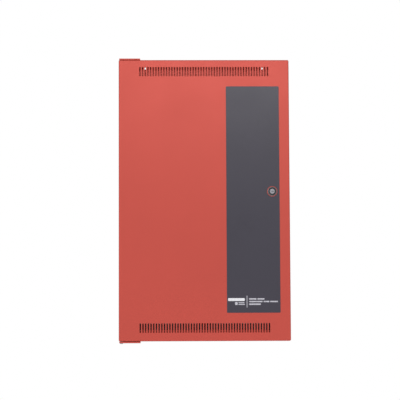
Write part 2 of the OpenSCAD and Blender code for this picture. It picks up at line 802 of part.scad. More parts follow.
module mains_terminal_block() color("black") on_wall() difference() {
    block([mains_x, mains_y, plate_face], [mains_x + mains_w, mains_y + mains_h, plate_face + mains_t]);
    mains_screw_places() {
        bar(0, 0, plate_face - past, plate_face + mains_t, board_screw_r + screw_clear);
        bar(0, 0, plate_face + mains_t - 8, plate_face + mains_t + past, 3.4);
    }
    for (i = [0:2]) difference() {
        block([mains_x - past, mains_y + 9 + i * 11, plate_face + mains_t - mains_channel],
            [mains_x + mains_w + past, mains_y + 17 + i * 11, plate_face + mains_t + past]);
        block([mains_x + (mains_w - mains_rib) / 2, mains_y, 0],
            [mains_x + (mains_w + mains_rib) / 2, mains_y + mains_h, plate_face + mains_t]);
    }
}

// A bent clear cover that clips over the mains terminals, open at both ends for the wires
module mains_terminal_cover() color([0.8, 0.9, 0.95, 0.4]) on_wall() difference() {
    block([mains_x - cover_t, mains_y + 8, plate_face],
        [mains_x + mains_w + cover_t, mains_y + mains_h - 8, plate_face + mains_t + 5 + cover_t]);
    block([mains_x, mains_y, plate_face - past],
        [mains_x + mains_w, mains_y + mains_h, plate_face + mains_t + 5]);
    block([mains_x - cover_t - past, mains_y + 10, plate_face + 4],
        [mains_x + past, mains_y + mains_h - 10, plate_face + mains_t + 2]);
}

module fuse_places() for (i = [0, 1]) translate([fuse_x + i * fuse_pitch, fuse_y, plate_face]) children();

module fuse_holders() color("black") on_wall() fuse_places() difference() {
    block([-7, -17, 0], [7, 17, 13]);
    block([-4.5, -9, 5], [4.5, 9, 13 + past]);
    translate([0, 17 + past, 10]) rotate([90, 0, 0]) cylinder(h = 34 + 2 * past, r = fuse_r);
    block([-fuse_r, -18, 10], [fuse_r, 18, 13 + past]);
}

module fuses() color("lightblue") on_wall() fuse_places() {
    upright(0, 10, -fuse_l / 2, fuse_l / 2, fuse_r - 0.2);
    for (end = [0, 1]) mirror([0, end, 0]) upright(0, 10, fuse_l / 2 - 5, fuse_l / 2, fuse_r);
}

// A battery by its left side
module battery(x) {
    block([x, battery_bottom, battery_back], [x + battery_w, battery_top - lid_h, battery_front]);
    block([x + 1, battery_top - lid_h - 0.1, battery_back + 1],
        [x + battery_w - 1, battery_top, battery_front - 1]);
}

module battery_left() color("dimgray") on_wall() battery(-battery_gap / 2 - battery_w);

module battery_right() color("dimgray") on_wall() battery(battery_gap / 2);

// A flat post with its bolt and a crimped lug on each terminal
module battery_terminals() color("silver") on_wall() {
    outer = battery_gap / 2 + battery_w - terminal_in - 1;
    inner = battery_gap / 2 + terminal_in + 1;
    for (x = [-outer, -inner, inner, outer]) {
        side = x > 0 ? 1 : -1;
        block([x - 6, battery_top, terminal_out - 13], [x + 6, battery_top + 4, terminal_out + 6]);
        upright(x, terminal_out - 8, battery_top + 3.9, battery_top + 8, 4);
        upright(x, terminal_out, battery_top + 3.9, battery_top + 4 + barrel_h, 3);
    }
}

module battery_bar() color("lightgray") on_wall() difference() {
    block([1.5 - inner_right, bar_y - bar_h / 2, bar_back],
        [inner_right - 1.5, bar_y + bar_h / 2, bar_front]);
    for (side = [-1, 1]) bar(side * bar_screw_x, bar_y, bar_back - past, bar_front + past, 2 + screw_clear);
}

// Rubber blocks and strips hold each battery off the walls, and one presses it from the bar
module battery_pads() color("black") on_wall() for (side = [-1, 1]) {
    x = side * (battery_gap + battery_w) / 2;
    for (dx = [-55, 55]) {
        block([x + dx - 8, battery_bottom + 12, sheet], [x + dx + 8, battery_top - 30, battery_back]);
        block([x + dx - 8, -inner_top, battery_back + 4], [x + dx + 8, battery_bottom, battery_front - 4]);
    }
    block([x - 30, bar_y - bar_h / 2, battery_front], [x + 30, bar_y + bar_h / 2, bar_back]);
}

module battery_lead_red() color("red") on_wall() lead(red_route, lead_r);

module battery_lead_black() color("black") on_wall() lead(black_route, lead_r);

module battery_link_lead() color("red") on_wall() lead(link_route, lead_r);

// A flat cable that arches from header to header
module ribbon_cable() color("lightgray") on_wall() {
    left = amp_x + amp_w - 7;
    end = main_x + 7;
    low = board_front + 8;
    translate([0, amp_y + ribbon_y + ribbon_w, 0]) rotate([90, 0, 0]) linear_extrude(ribbon_w) polygon([
        [left - 0.5, low], [left + 0.5, low], [left + 1.5, low + 5], [left + 4, low + 7],
        [end - 4, low + 7], [end - 1.5, low + 5], [end - 0.5, low], [end + 0.5, low],
        [end - 0.5, low + 6], [end - 3.5, low + 8], [left + 3.5, low + 8], [left + 0.5, low + 6]
    ]);
}

module transformer_leads() color("brown") on_wall() {
    lead(live_route, lead_r);
    lead(neutral_route, lead_r);
    lead(toroid_route, lead_r);
}

module vent_slots() {
    count = floor((door_w - 2 * slot_margin) / slot_pitch + 0.01) + 1;
    for (y = [door_top - top_row_down, bottom_row_up - door_top], i = [0:count - 1])
        translate([(i - (count - 1) / 2) * slot_pitch, y]) {
            square([slot_w, slot_h - slot_w], center = true);
            for (end = [-1, 1]) translate([0, end * (slot_h - slot_w) / 2]) circle(slot_w / 2);
        }
}

// A folded steel tray with returns at the back, open over the backbox
module door_panel() color("firebrick") on_wall() difference() {
    translate([0, 0, door_back]) linear_extrude(door_depth) rounded(door_w, door_h, corner_r);
    translate([0, 0, door_back + sheet]) linear_extrude(door_depth - 2 * sheet)
        rounded(door_w - 2 * sheet, door_h - 2 * sheet, corner_r - sheet);
    block([return_edge - right, return_edge - top, door_back - past],
        [right - return_edge, top - return_edge, door_back + 2 * sheet]);
    translate([0, 0, door_inside - past]) linear_extrude(sheet + 2 * past) vent_slots();
    upright(hinge_x, hinge_out, -door_top - past, door_top + past, pin_r + pin_clear);
    for (side = [-1, 1]) bar(side * paint_hole_x, top - return_edge + paint_hole_in,
        door_back - past, door_back + sheet + past, paint_hole_r);
    translate([lock_x, lock_up, 0]) lock_barrel(screw_clear);
}

module door_label() color("dimgray") on_wall() difference() {
    translate([door_right - label_in - label_w / 2, door_top - label_down - label_h / 2, door_front])
        linear_extrude(label_t) rounded(label_w, label_h, 2);
    bar(lock_x, lock_up, door_front - past, door_front + past, label_hole_r);
}

// The barrel with its two flats, grown by a clearance
module lock_barrel(clear) intersection() {
    bar(0, 0, barrel_back, door_front + 0.1, barrel_r + clear);
    block([-barrel_r * 2, -barrel_flat - clear, 0], [barrel_r * 2, barrel_flat + clear, door_front + 1]);
}

module lock_body() color("dimgray") on_wall() translate([lock_x, lock_up, 0]) difference() {
    union() {
        translate([0, 0, door_front]) rotate_extrude() polygon([
            [0, 0], [bezel_r, 0], [bezel_r, bezel_h - bezel_bevel],
            [bezel_r - bezel_bevel, bezel_h], [0, bezel_h]
        ]);
        lock_barrel(0);
    }
    bar(0, 0, barrel_back - past, door_front + bezel_h + past, plug_r + plug_clear);
    bar(0, 0, plug_face - plug_flange_t - plug_clear, door_front + bezel_h + past,
        plug_flange_r + plug_clear);
}

module lock_nut() color("silver") on_wall() translate([lock_x, lock_up, 0]) difference() {
    hex_bar(0, 0, door_inside - nut_t, door_inside, nut_across_corners);
    bar(0, 0, door_inside - nut_t - past, door_inside + past, barrel_r + screw_clear);
}

module lock_plug() color("silver") on_wall() translate([lock_x, lock_up, 0]) difference() {
    union() {
        bar(0, 0, cam_front, plug_face - plug_flange_t / 2, plug_r);
        bar(0, 0, plug_face - plug_flange_t, plug_face, plug_flange_r);
        block([-tail_w / 2, -tail_w / 2, cam_back], [tail_w / 2, tail_w / 2, cam_front + 0.1]);
    }
    block([-3.6, -0.7, plug_face - 9], [3.6, 0.7, plug_face + past]);
    bar(0, 0, cam_back - past, cam_front + 6, cam_screw_r + screw_clear);
}

// The cam hangs down when the door is unlocked and turns to the right behind the backbox's lip
module lock_cam() color("silver") on_wall() translate([lock_x, lock_up, 0]) difference() {
    union() {
        bar(0, 0, cam_back, cam_front, cam_hub_r);
        block([-cam_w / 2, cam_w / 2 - cam_tip, cam_back], [cam_w / 2, 0, cam_front]);
        intersection() {
            bar(0, 0, cam_back, cam_front, cam_tip);
            block([-cam_w / 2, -cam_tip, cam_back], [cam_w / 2, 0, cam_front]);
        }
    }
    translate([0, 0, cam_back]) cube([tail_w + 0.1, tail_w + 0.1, 3 * cam_t], center = true);
}

module cam_screw() color("silver") on_wall() translate([lock_x, lock_up, cam_back]) mirror([0, 0, 1])
    screw(0, 0, 0, cam_t + 5, cam_screw_r);

backbox();
backbox_lips();
knockout_plugs();
hinge_bracket_top();
hinge_bracket_bottom();
hinge_rivets();
hinge_pins();
hinge_washer();
chassis_plate();
chassis_studs();
hex_nuts();
main_board();
charger_board();
amplifier_board();
board_standoffs();
screws_and_bolts();
terminal_blocks();
terminal_screws();
relays();
filter_capacitors();
board_chips();
status_lamps();
dip_switch_body();
dip_lever_1();
dip_lever_2();
dip_lever_3();
dip_lever_4();
button_housing();
reset_button();
gain_trimmer_body();
gain_trimmer_rotor();
heat_sink();
output_transistors();
toroid_transformer();
toroid_pads();
toroid_washer();
mains_transformer_core();
mains_transformer_coil();
mains_transformer_frame();
mains_terminal_block();
mains_terminal_cover();
fuse_holders();
fuses();
battery_left();
battery_right();
battery_terminals();
battery_bar();
battery_pads();
battery_lead_red();
battery_lead_black();
battery_link_lead();
ribbon_cable();
transformer_leads();
door_panel();
door_label();
lock_body();
lock_nut();
lock_plug();
lock_cam();
cam_screw();
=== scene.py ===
import random
from math import atan2, cos, pi, radians, sin, sqrt, tan

import bmesh
import bpy
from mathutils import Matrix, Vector


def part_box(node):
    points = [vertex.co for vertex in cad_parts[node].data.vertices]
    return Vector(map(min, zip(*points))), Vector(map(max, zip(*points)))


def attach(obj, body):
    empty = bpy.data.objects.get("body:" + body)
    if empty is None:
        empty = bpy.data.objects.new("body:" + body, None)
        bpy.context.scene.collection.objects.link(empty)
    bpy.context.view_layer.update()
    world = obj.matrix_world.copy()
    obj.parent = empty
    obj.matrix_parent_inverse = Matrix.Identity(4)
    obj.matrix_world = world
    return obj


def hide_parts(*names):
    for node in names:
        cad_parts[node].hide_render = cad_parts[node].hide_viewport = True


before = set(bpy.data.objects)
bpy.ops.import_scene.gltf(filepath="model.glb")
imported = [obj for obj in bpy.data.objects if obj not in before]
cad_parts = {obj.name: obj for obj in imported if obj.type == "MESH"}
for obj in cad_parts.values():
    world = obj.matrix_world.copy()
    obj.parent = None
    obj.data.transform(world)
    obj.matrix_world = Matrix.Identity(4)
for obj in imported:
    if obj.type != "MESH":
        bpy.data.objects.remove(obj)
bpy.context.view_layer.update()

# Camera, light and floor. The cabinet is looked at from a little below its middle and a little
# to its left, down a long lens. Soft lights hang above, in front and to the left, and one lies
# just over the pale disc of floor, in a white room, well under the cabinet as it hangs on a wall.
camera = bpy.data.objects.new("camera", bpy.data.cameras.new("camera"))
camera.location = (-0.1175, -4.5939, -0.4512)
camera.rotation_euler = (radians(95.7541), radians(0.2696), radians(-1.4768))
camera.data.lens = 170.586
camera.data.sensor_width = 36
camera.data.shift_x = -0.0109
camera.data.shift_y = -0.0014
bpy.context.scene.collection.objects.link(camera)
bpy.context.scene.camera = camera
bpy.context.scene.view_settings.view_transform = "Standard"

for name, place, target, width, height, power in (
        ("light_above", (0.1, -1.9, 0.68), (0, -0.1, 0.2), 1.0, 0.25, 3.0),
        ("light_left", (-1.9, -1.7, 0.4), (0, -0.1, 0), 0.8, 1.8, 6),
        ("light_below", (0.0, -0.32, -0.77), (0, -0.1, -0.33), 1.2, 0.3, 1.6)):
    light = bpy.data.objects.new(name, bpy.data.lights.new(name, "AREA"))
    light.data.shape = "RECTANGLE"
    light.data.size = width
    light.data.size_y = height
    light.data.energy = power
    light.location = place
    light.rotation_euler = (Vector(target) - Vector(place)).to_track_quat("-Z", "Y").to_euler()
    bpy.context.scene.collection.objects.link(light)

room = bpy.data.worlds.new("white_room")
bpy.context.scene.world = room
room.use_nodes = True
room_light = room.node_tree.nodes["Background"]
seen = room.node_tree.nodes.new("ShaderNodeLightPath")
way = room.node_tree.nodes.new("ShaderNodeTexCoord")
way_parts = room.node_tree.nodes.new("ShaderNodeSeparateXYZ")
front_share = room.node_tree.nodes.new("ShaderNodeMapRange")
front_share.interpolation_type = "SMOOTHSTEP"
for socket, value in (("From Min", 0.35), ("From Max", -0.35), ("To Min", 0.28), ("To Max", 0.82)):
    front_share.inputs[socket].default_value = value
strength = room.node_tree.nodes.new("ShaderNodeMath")
strength.operation = "MAXIMUM"
for a, b in ((way.outputs["Generated"], way_parts.inputs["Vector"]),
             (way_parts.outputs["Y"], front_share.inputs["Value"]),
             (front_share.outputs["Result"], strength.inputs[0]),
             (seen.outputs["Is Camera Ray"], strength.inputs[1]),
             (strength.outputs["Value"], room_light.inputs["Strength"])):
    room.node_tree.links.new(a, b)
room_light.inputs["Color"].default_value = (1, 1, 1, 1)

floor_mesh = bmesh.new()
bmesh.ops.create_circle(floor_mesh, cap_ends=True, segments=96, radius=1.9)
floor = bpy.data.objects.new("floor", bpy.data.meshes.new("floor"))
floor_mesh.to_mesh(floor.data)
floor.location = (0, -0.2, -0.8)
bpy.context.scene.collection.objects.link(floor)
pale = bpy.data.materials.new("pale_floor")
pale.use_nodes = True
pale_shader = pale.node_tree.nodes["Principled BSDF"]
pale_noise = pale.node_tree.nodes.new("ShaderNodeTexNoise")
pale_noise.inputs["Scale"].default_value = 3
pale_ramp = pale.node_tree.nodes.new("ShaderNodeValToRGB")
pale_ramp.color_ramp.elements[0].color = (0.80, 0.80, 0.79, 1)
pale_ramp.color_ramp.elements[1].color = (0.86, 0.86, 0.85, 1)
pale.node_tree.links.new(pale_noise.outputs["Fac"], pale_ramp.inputs["Fac"])
pale.node_tree.links.new(pale_ramp.outputs["Color"], pale_shader.inputs["Base Color"])
pale_shader.inputs["Roughness"].default_value = 0.8
floor.data.materials.append(pale)


# Backbox: one sheet of 1.5 mm steel folded up on four sides with lips in front, its corners
# welded and ground, and red powder coated inside and out. Its knockouts, fixing holes and
# keyholes are punched, which leaves their rims a little rounded.
def at(x, up, out):
    """A place on the wall in millimetres: to the right, up and out from the wall."""
    return Vector((x / 1000, -out / 1000, up / 1000))


def node_in(tree, kind, inputs=None, **settings):
    """Adds one shader node, with plain values or other nodes' outputs in its inputs."""
    node = tree.nodes.new("ShaderNode" + kind)
    for key, value in settings.items():
        setattr(node, key, value)
    for key, value in (inputs or {}).items():
        if isinstance(value, bpy.types.NodeSocket):
            tree.links.new(value, node.inputs[key])
        else:
            node.inputs[key].default_value = value
    return node


def blended(tree, share, first, second):
    """The colour that lies between two colours, by a share from 0 to 1."""
    return node_in(tree, "Mix", {0: share, 6: first, 7: second}, data_type="RGBA").outputs[2]


def new_effect(name, inputs, outputs):
    """Starts a shader group and returns its tree, its inputs and its outputs."""
    tree = bpy.data.node_groups.new(name, "ShaderNodeTree")
    for socket, kind, value in inputs:
        made = tree.interface.new_socket(socket, in_out="INPUT", socket_type="NodeSocket" + kind)
        made.default_value = value
    for socket, kind in outputs:
        tree.interface.new_socket(socket, in_out="OUTPUT", socket_type="NodeSocket" + kind)
    return tree, tree.nodes.new("NodeGroupInput").outputs, tree.nodes.new("NodeGroupOutput").inputs


drift, given, result = new_effect(
    "colour_drift", (("Colour", "Color", (1, 1, 1, 1)), ("Size", "Float", 20), ("Amount", "Float", 0.1)),
    (("Colour", "Color"),))
drift_place = node_in(drift, "TexCoord")
drift_noise = node_in(drift, "TexNoise", {
    "Vector": drift_place.outputs["Object"], "Scale": given["Size"], "Detail": 3.0, "Roughness": 0.6})
drift_swing = node_in(drift, "Math", {0: drift_noise.outputs["Fac"], 1: 0.5}, operation="SUBTRACT")
drift_share = node_in(drift, "Math", {0: drift_swing.outputs[0], 1: given["Amount"], 2: 0.5},
                      operation="MULTIPLY_ADD")
drift_value = node_in(drift, "Math", {0: drift_share.outputs[0], 1: 2.0}, operation="MULTIPLY")
drift_tint = node_in(drift, "HueSaturation", {"Value": drift_value.outputs[0], "Color": given["Colour"]})
drift.links.new(drift_tint.outputs["Color"], result["Colour"])

grain, given, result = new_effect(
    "surface_grain", (("Size", "Float", 900), ("Stretch", "Vector", (1, 1, 1)), ("Roughness", "Float", 0.5),
                      ("Spread", "Float", 0.05)),
    (("Height", "Float"), ("Roughness", "Float")))
grain_place = node_in(grain, "TexCoord")
grain_pull = node_in(grain, "VectorMath", {0: grain_place.outputs["Object"], 1: given["Stretch"]},
                     operation="MULTIPLY")
grain_noise = node_in(grain, "TexNoise", {
    "Vector": grain_pull.outputs[0], "Scale": given["Size"], "Detail": 2.5, "Roughness": 0.55})
grain_wide = node_in(grain, "TexNoise", {
    "Vector": grain_place.outputs["Object"], "Scale": 9.0, "Detail": 3.0})
grain_mix = node_in(grain, "Math", {0: grain_noise.outputs["Fac"], 1: grain_wide.outputs["Fac"]},
                    operation="ADD")
grain_swing = node_in(grain, "Math", {0: grain_mix.outputs[0], 1: 1.0}, operation="SUBTRACT")
grain_rough = node_in(grain, "Math", {0: grain_swing.outputs[0], 1: given["Spread"], 2: given["Roughness"]},
                      operation="MULTIPLY_ADD", use_clamp=True)
grain.links.new(grain_noise.outputs["Fac"], result["Height"])
grain.links.new(grain_rough.outputs[0], result["Roughness"])

dust, given, result = new_effect(
    "settled_dust", (("Colour", "Color", (1, 1, 1, 1)), ("Amount", "Float", 0.3)),
    (("Colour", "Color"),))
dust_place = node_in(dust, "TexCoord")
dust_faces = node_in(dust, "SeparateXYZ", {"Vector": dust_place.outputs["Normal"]})
dust_up = node_in(dust, "MapRange", {"Value": dust_faces.outputs["Z"], "From Min": 0.4, "From Max": 0.95})
dust_noise = node_in(dust, "TexNoise", {"Vector": dust_place.outputs["Object"], "Scale": 70.0, "Detail": 5.0})
dust_patch = node_in(dust, "MapRange", {
    "Value": dust_noise.outputs["Fac"], "From Min": 0.35, "From Max": 0.7})
dust_both = node_in(dust, "Math", {0: dust_up.outputs[0], 1: dust_patch.outputs[0]}, operation="MULTIPLY")
dust_mask = node_in(dust, "Math", {0: dust_both.outputs[0], 1: given["Amount"]}, operation="MULTIPLY")
dust_tint = blended(dust, dust_mask.outputs[0], given["Colour"], (0.36, 0.33, 0.30, 1))
dust.links.new(dust_tint, result["Colour"])


def place_effect(tree, effect, **values):
    """Places a shader group in a material; a value may be another node's output."""
    node = tree.nodes.new("ShaderNodeGroup")
    node.node_tree = effect
    for key, value in values.items():
        if isinstance(value, bpy.types.NodeSocket):
            tree.links.new(value, node.inputs[key])
        else:
            node.inputs[key].default_value = value
    return node


def finish(name, colour, roughness, tone=(25, 0.1), grained=(900, 0.02), spread=0.1, stretch=(1, 1, 1),
           dusty=0.0, **shader_values):
    """A finish whose colour, roughness and surface all vary; colour may be another node's output.
    tone is how wide and how strong its colour drifts, grained how fine and deep (mm) its surface is."""
    material = bpy.data.materials.get(name) or bpy.data.materials.new(name)
    material.use_nodes = True
    tree = material.node_tree
    shader = tree.nodes["Principled BSDF"]
    if not isinstance(colour, bpy.types.NodeSocket):
        colour = (*colour, 1)
    tinted = place_effect(tree, drift, Colour=colour, Size=tone[0], Amount=tone[1]).outputs["Colour"]
    if dusty:
        tinted = place_effect(tree, dust, Colour=tinted, Amount=dusty).outputs["Colour"]
    tree.links.new(tinted, shader.inputs["Base Color"])
    surface = place_effect(tree, grain, Size=grained[0], Stretch=stretch, Roughness=roughness, Spread=spread)
    tree.links.new(surface.outputs["Roughness"], shader.inputs["Roughness"])
    bump = node_in(tree, "Bump", {"Height": surface.outputs["Height"], "Distance": grained[1] / 1000})
    tree.links.new(bump.outputs["Normal"], shader.inputs["Normal"])
    for key, value in shader_values.items():
        shader.inputs[key.replace("_", " ")].default_value = value
    return material


def started(name):
    """The nodes of a named material, for a finish whose colour comes from nodes of its own."""
    material = bpy.data.materials.get(name) or bpy.data.materials.new(name)
    material.use_nodes = True
    return material.node_tree


red_paint = finish("red_powder_coat", (0.590, 0.074, 0.052), 0.35, tone=(6, 0.05), grained=(750, 0.02),
                   spread=0.12)


def rounded_path(points, radii, steps=4):
    """The inner points of a bent sheet's path, each turned into an arc of its bend radius."""
    path = []
    for before, corner, after, radius in zip(points, points[1:], points[2:], radii):
        u, v = (before - corner).normalized(), (after - corner).normalized()
        half = u.angle(v) / 2
        centre = corner + (u + v).normalized() * radius / sin(half)
        first = corner + u * radius / tan(half) - centre
        last = corner + v * radius / tan(half) - centre
        path += [centre + first.slerp(last, k / steps).normalized() * radius for k in range(steps + 1)]
    return path


def fill_between(mesh, outline, openings):
    """Fills a flat face inside its outline and round the openings in it."""
    edges = []
    for loop in [outline, *openings]:
        for a, b in zip(loop, loop[1:] + loop[:1]):
            edges.append(mesh.edges.get((a, b)) or mesh.edges.new((a, b)))
            edges[-1].smooth = False
    bmesh.ops.triangle_fill(mesh, use_beauty=True, use_dissolve=False, edges=edges)


def round_hole(radius, steps=32):
    """The outline of a round hole, grown by its argument."""
    return lambda grow: [
        ((radius + grow) * cos(2 * pi * k / steps), (radius + grow) * sin(2 * pi * k / steps))
        for k in range(steps)]


def punched(mesh, outline, spot, thickness, rim=0.25):
    """A punched hole's wall with rounded rims, and its loops on the two faces of the sheet."""
    loops = [[mesh.verts.new(spot(a, b, depth)) for a, b in outline(grow)]
             for grow, depth in ((rim, 0), (0, rim), (0, thickness - rim), (rim, thickness))]
    for low, high in zip(loops, loops[1:]):
        for k in range(len(low)):
            n = (k + 1) % len(low)
            mesh.faces.new((low[k], low[n], high[n], high[k]))
    return loops[0], loops[-1]


quarters = ((1, 1), (-1, 1), (-1, -1), (1, -1))


def folded_shell(half_x, half_up, corner, corners, radii, face_holes, side_holes, sheet):
    """A folded sheet from its outer face, over its sides and lips, back to its inner face.
    corners are the path's bends: in from the sides, from the top and from the foot, and out."""
    mesh = bmesh.new()
    rings = []
    sides, tops, feet = (
        rounded_path([Vector((c[way], c[3], 0)) for c in corners], radii) for way in range(3))
    for side, top, foot in zip(sides, tops, feet):
        r = max(corner - max(side.x, 0), 0.8)
        rings.append([mesh.verts.new(at(
            sx * (half_x - side.x - r) + r * cos(radians(90 * i + 22.5 * k)),
            sy * (half_up - (top if sy > 0 else foot).x - r) + r * sin(radians(90 * i + 22.5 * k)), side.y))
            for i, (sx, sy) in enumerate(quarters) for k in range(5)])
    wide = {}
    for band, side, outline, spot, rim in side_holes:
        outer, inner = punched(mesh, outline, spot, sheet, rim)
        wide.setdefault((band, side), []).append(outer)
        wide.setdefault((len(rings) - 2 - band, side), []).append(inner)
    for band, (low, high) in enumerate(zip(rings, rings[1:])):
        for k in range(20):
            quad = [low[k], low[(k + 1) % 20], high[(k + 1) % 20], high[k]]
            holes = wide.get((band, (k + 1) // 5 % 4)) if k % 5 == 4 else None
            if holes:
                fill_between(mesh, quad, holes)
            else:
                mesh.faces.new(quad)
    pairs = [punched(mesh, outline, spot, sheet, rim) for outline, spot, rim in face_holes]
    fill_between(mesh, rings[0], [outer for outer, inner in pairs])
    fill_between(mesh, rings[-1], [inner for outer, inner in pairs])
    return mesh


def built(name, mesh, material, body, nodes=(), sharp=38):
    """Makes the mesh into a piece with smooth bends and crisp corners, riding on its body."""
    bmesh.ops.recalc_face_normals(mesh, faces=mesh.faces)
    for face in mesh.faces:
        face.smooth = True
    for edge in mesh.edges:
        if edge.calc_face_angle(0) > radians(sharp):
            edge.smooth = False
    piece = bpy.data.objects.new(name, bpy.data.meshes.new(name))
    mesh.to_mesh(piece.data)
    mesh.free()
    piece.data.materials.append(material)
    bpy.context.scene.collection.objects.link(piece)
    normals = piece.modifiers.new("even_faces", "WEIGHTED_NORMAL")
    normals.keep_sharp = True
    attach(piece, body)
    if nodes:
        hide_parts(*nodes)
    return piece


box_half_x, box_half_up, box_deep, box_sheet = 184.15, 314.325, 98.3, 1.5
side_lip, head_lip, foot_lip = 12, 16, 6
fixing_x, fixing_up, fixing_r, keyhole_x = 152.4, 279.4, 3.6, 76.2
knockout_r, knockout_out = 11.1, 45
box_path = (
    (20, 20, 20, 0), (0, 0, 0, 0), (0, 0, 0, box_deep), (side_lip, head_lip, foot_lip, box_deep),
    (side_lip, head_lip, foot_lip, box_deep - box_sheet),
    (box_sheet, box_sheet, box_sheet, box_deep - box_sheet),
    (box_sheet, box_sheet, box_sheet, box_sheet), (20, 20, 20, box_sheet))


def keyhole(grow):
    """A round hole with a slot up from it."""
    wide, narrow, rise = 7 + grow, fixing_r + grow, 12
    start = atan2(sqrt(wide * wide - narrow * narrow), narrow)
    outline = [(wide * cos(a), wide * sin(a)) for a in
               (pi - start + (pi + 2 * start) * k / 28 for k in range(29))]
    return outline + [(narrow * cos(pi * k / 12), rise + narrow * sin(pi * k / 12)) for k in range(13)]


back_holes = [(round_hole(fixing_r, 24), lambda a, b, d, x=x, y=y: at(x + a, y + b, d), 0.25)
              for x in (-fixing_x, fixing_x) for y in (-fixing_up, fixing_up)]
back_holes += [(keyhole, lambda a, b, d, x=x: at(x + a, fixing_up + b, d), 0.25)
               for x in (-keyhole_x, keyhole_x)]
knockout_holes = [(4, 1, round_hole(knockout_r, 40),
                   lambda a, b, d, x=x: at(x + a, box_half_up - d, knockout_out + b), 0.2)
                  for x in (-120, -40, 40, 120)]
for side, sign in ((0, 1), (2, -1)):
    knockout_holes += [(4, side, round_hole(knockout_r, 40),
                        lambda a, b, d, y=y, s=sign: at(s * (box_half_x - d), y + a, knockout_out + b), 0.2)
                       for y in (box_half_up - 95, box_half_up - 175)]
built("backbox_shell", folded_shell(
    box_half_x, box_half_up, 1.6, box_path, (2, 0.8, 0.35, 0.35, 0.3, 0.6), back_holes, knockout_holes,
    box_sheet), red_paint, "cabinet", ["backbox", "backbox_lips"])


# Knockouts, hinge tabs and rivets: the knockouts are the box's own steel, held by small bridges.
# The hinge tabs are bent 3 mm steel, riveted to the box's ends before it is painted, so all
# of them are the same red.
def keep(nodes, material, edge, smooth_lines=False):
    """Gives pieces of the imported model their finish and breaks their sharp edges."""
    for name in nodes:
        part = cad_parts[name]
        for place in part.material_slots:
            place.link = "OBJECT"
            place.material = material
        weld = part.modifiers.new("weld", "WELD")
        weld.merge_threshold = 0.00001
        if smooth_lines:
            part.modifiers.new("round", "SUBSURF").render_levels = 2
            continue
        bevel = part.modifiers.new("broken_edges", "BEVEL")
        bevel.width = edge / 1000
        bevel.segments = 2
        bevel.limit_method = "ANGLE"
        bevel.angle_limit = radians(34)
        bevel.harden_normals = True


keep(["knockout_plugs"], red_paint, 0.2)
keep(["hinge_bracket_top", "hinge_bracket_bottom"], red_paint, 0.35)
keep(["hinge_rivets"], red_paint, 0.3)


# Hinge pins and washer: plain steel pins that stand in the tabs and in holes in the door's ends,
# and a nylon washer that the door rests on.
pin_steel = finish("pin_steel", (0.55, 0.55, 0.56), 0.32, tone=(80, 0.1), grained=(1500, 0.004),
                   spread=0.12, stretch=(1, 1, 0.1), Metallic=1.0)
nylon = finish("nylon", (0.80, 0.79, 0.74), 0.45, tone=(60, 0.05), grained=(1200, 0.006), spread=0.08)
keep(["hinge_pins"], pin_steel, 0.4)
keep(["hinge_washer"], nylon, 0.15)


# Door: a folded tray of the same steel with returns behind, hung over the box. Two rows of 49
# upright slots are punched in it, two small holes in its top return let paint run out, and two
# more in its ends take the hinge pins.
door_half_x, door_half_up, door_back, door_front, door_sheet = 203.2, 335.275, 98.8, 118.1, 1.5
side_return, end_return = 19.55, 21.45
door_path = (
    (30, 30, 30, door_front), (0, 0, 0, door_front), (0, 0, 0, door_back),
    (side_return, end_return, end_return, door_back),
    (side_return, end_return, end_return, door_back + door_sheet),
    (door_sheet, door_sheet, door_sheet, door_back + door_sheet),
    (door_sheet, door_sheet, door_sheet, door_front - door_sheet), (30, 30, 30, door_front - door_sheet))
slot_half_w, slot_half_h, slot_pitch = 1.6, 11.35, 6.35
lock_x, lock_up = 161.4, 18.9
barrel_hole_r, paint_hole_r, paint_hole_x, paint_hole_up = 9.6, 2.5, 140, 317.625
hinge_x, hinge_out, hinge_hole_r = -196.7, 108.2, 3.02


def slot_outline(grow):
    """An upright slot with round ends."""
    r, rise = slot_half_w + grow, slot_half_h - slot_half_w
    return [(r * cos(a), rise + r * sin(a)) for a in (pi * k / 8 for k in range(9))] + [
        (r * cos(a), -rise + r * sin(a)) for a in (pi + pi * k / 8 for k in range(9))]


vents = [(slot_outline, lambda a, b, d, x=(i - 24) * slot_pitch, y=y: at(x + a, y + b, door_front - d), 0.3)
         for y in (307.125, -304.475) for i in range(49)]
vents.append((round_hole(barrel_hole_r, 40),
              lambda a, b, d: at(lock_x + a, lock_up + b, door_front - d), 0.1))
end_holes = [(4, side, round_hole(hinge_hole_r, 24),
              lambda a, b, d, s=sign: at(hinge_x + a, s * (door_half_up - d), hinge_out + b), 0.1)
             for side, sign in ((1, 1), (3, -1))]
end_holes += [(9, 1, round_hole(paint_hole_r, 20),
               lambda a, b, d, x=x: at(x + a, paint_hole_up + b, door_back + d), 0.2)
              for x in (-paint_hole_x, paint_hole_x)]
built("door_shell", folded_shell(
    door_half_x, door_half_up, 3, door_path, (2.2, 2.2, 0.4, 0.4, 0.7, 0.7), vents, end_holes,
    door_sheet), red_paint, "door", ["door_panel"])


# Label: a long dark film with a fine matt grain, glued down the door's right side, with a round
# hole for the lock. The print at its foot is only plain bars that stand for two marks and lines.
label_film = finish("label_film", (0.026, 0.021, 0.040), 0.31, tone=(14, 0.10), grained=(1400, 0.012),
                    spread=0.16, Specular_IOR_Level=0.7)
label_x, label_up, label_half_w, label_half_h, label_t = 115.65, 1.1, 63.25, 270.3, 0.5
film = bmesh.new()


def film_ring(inset, out):
    """The label's outline with its round corners, drawn in by an inset."""
    r = 2 - inset
    return [film.verts.new(at(
        label_x + sx * (label_half_w - 2) + r * cos(radians(90 * i + 15 * k)),
        label_up + sy * (label_half_h - 2) + r * sin(radians(90 * i + 15 * k)), out))
        for i, (sx, sy) in enumerate(quarters) for k in range(7)]


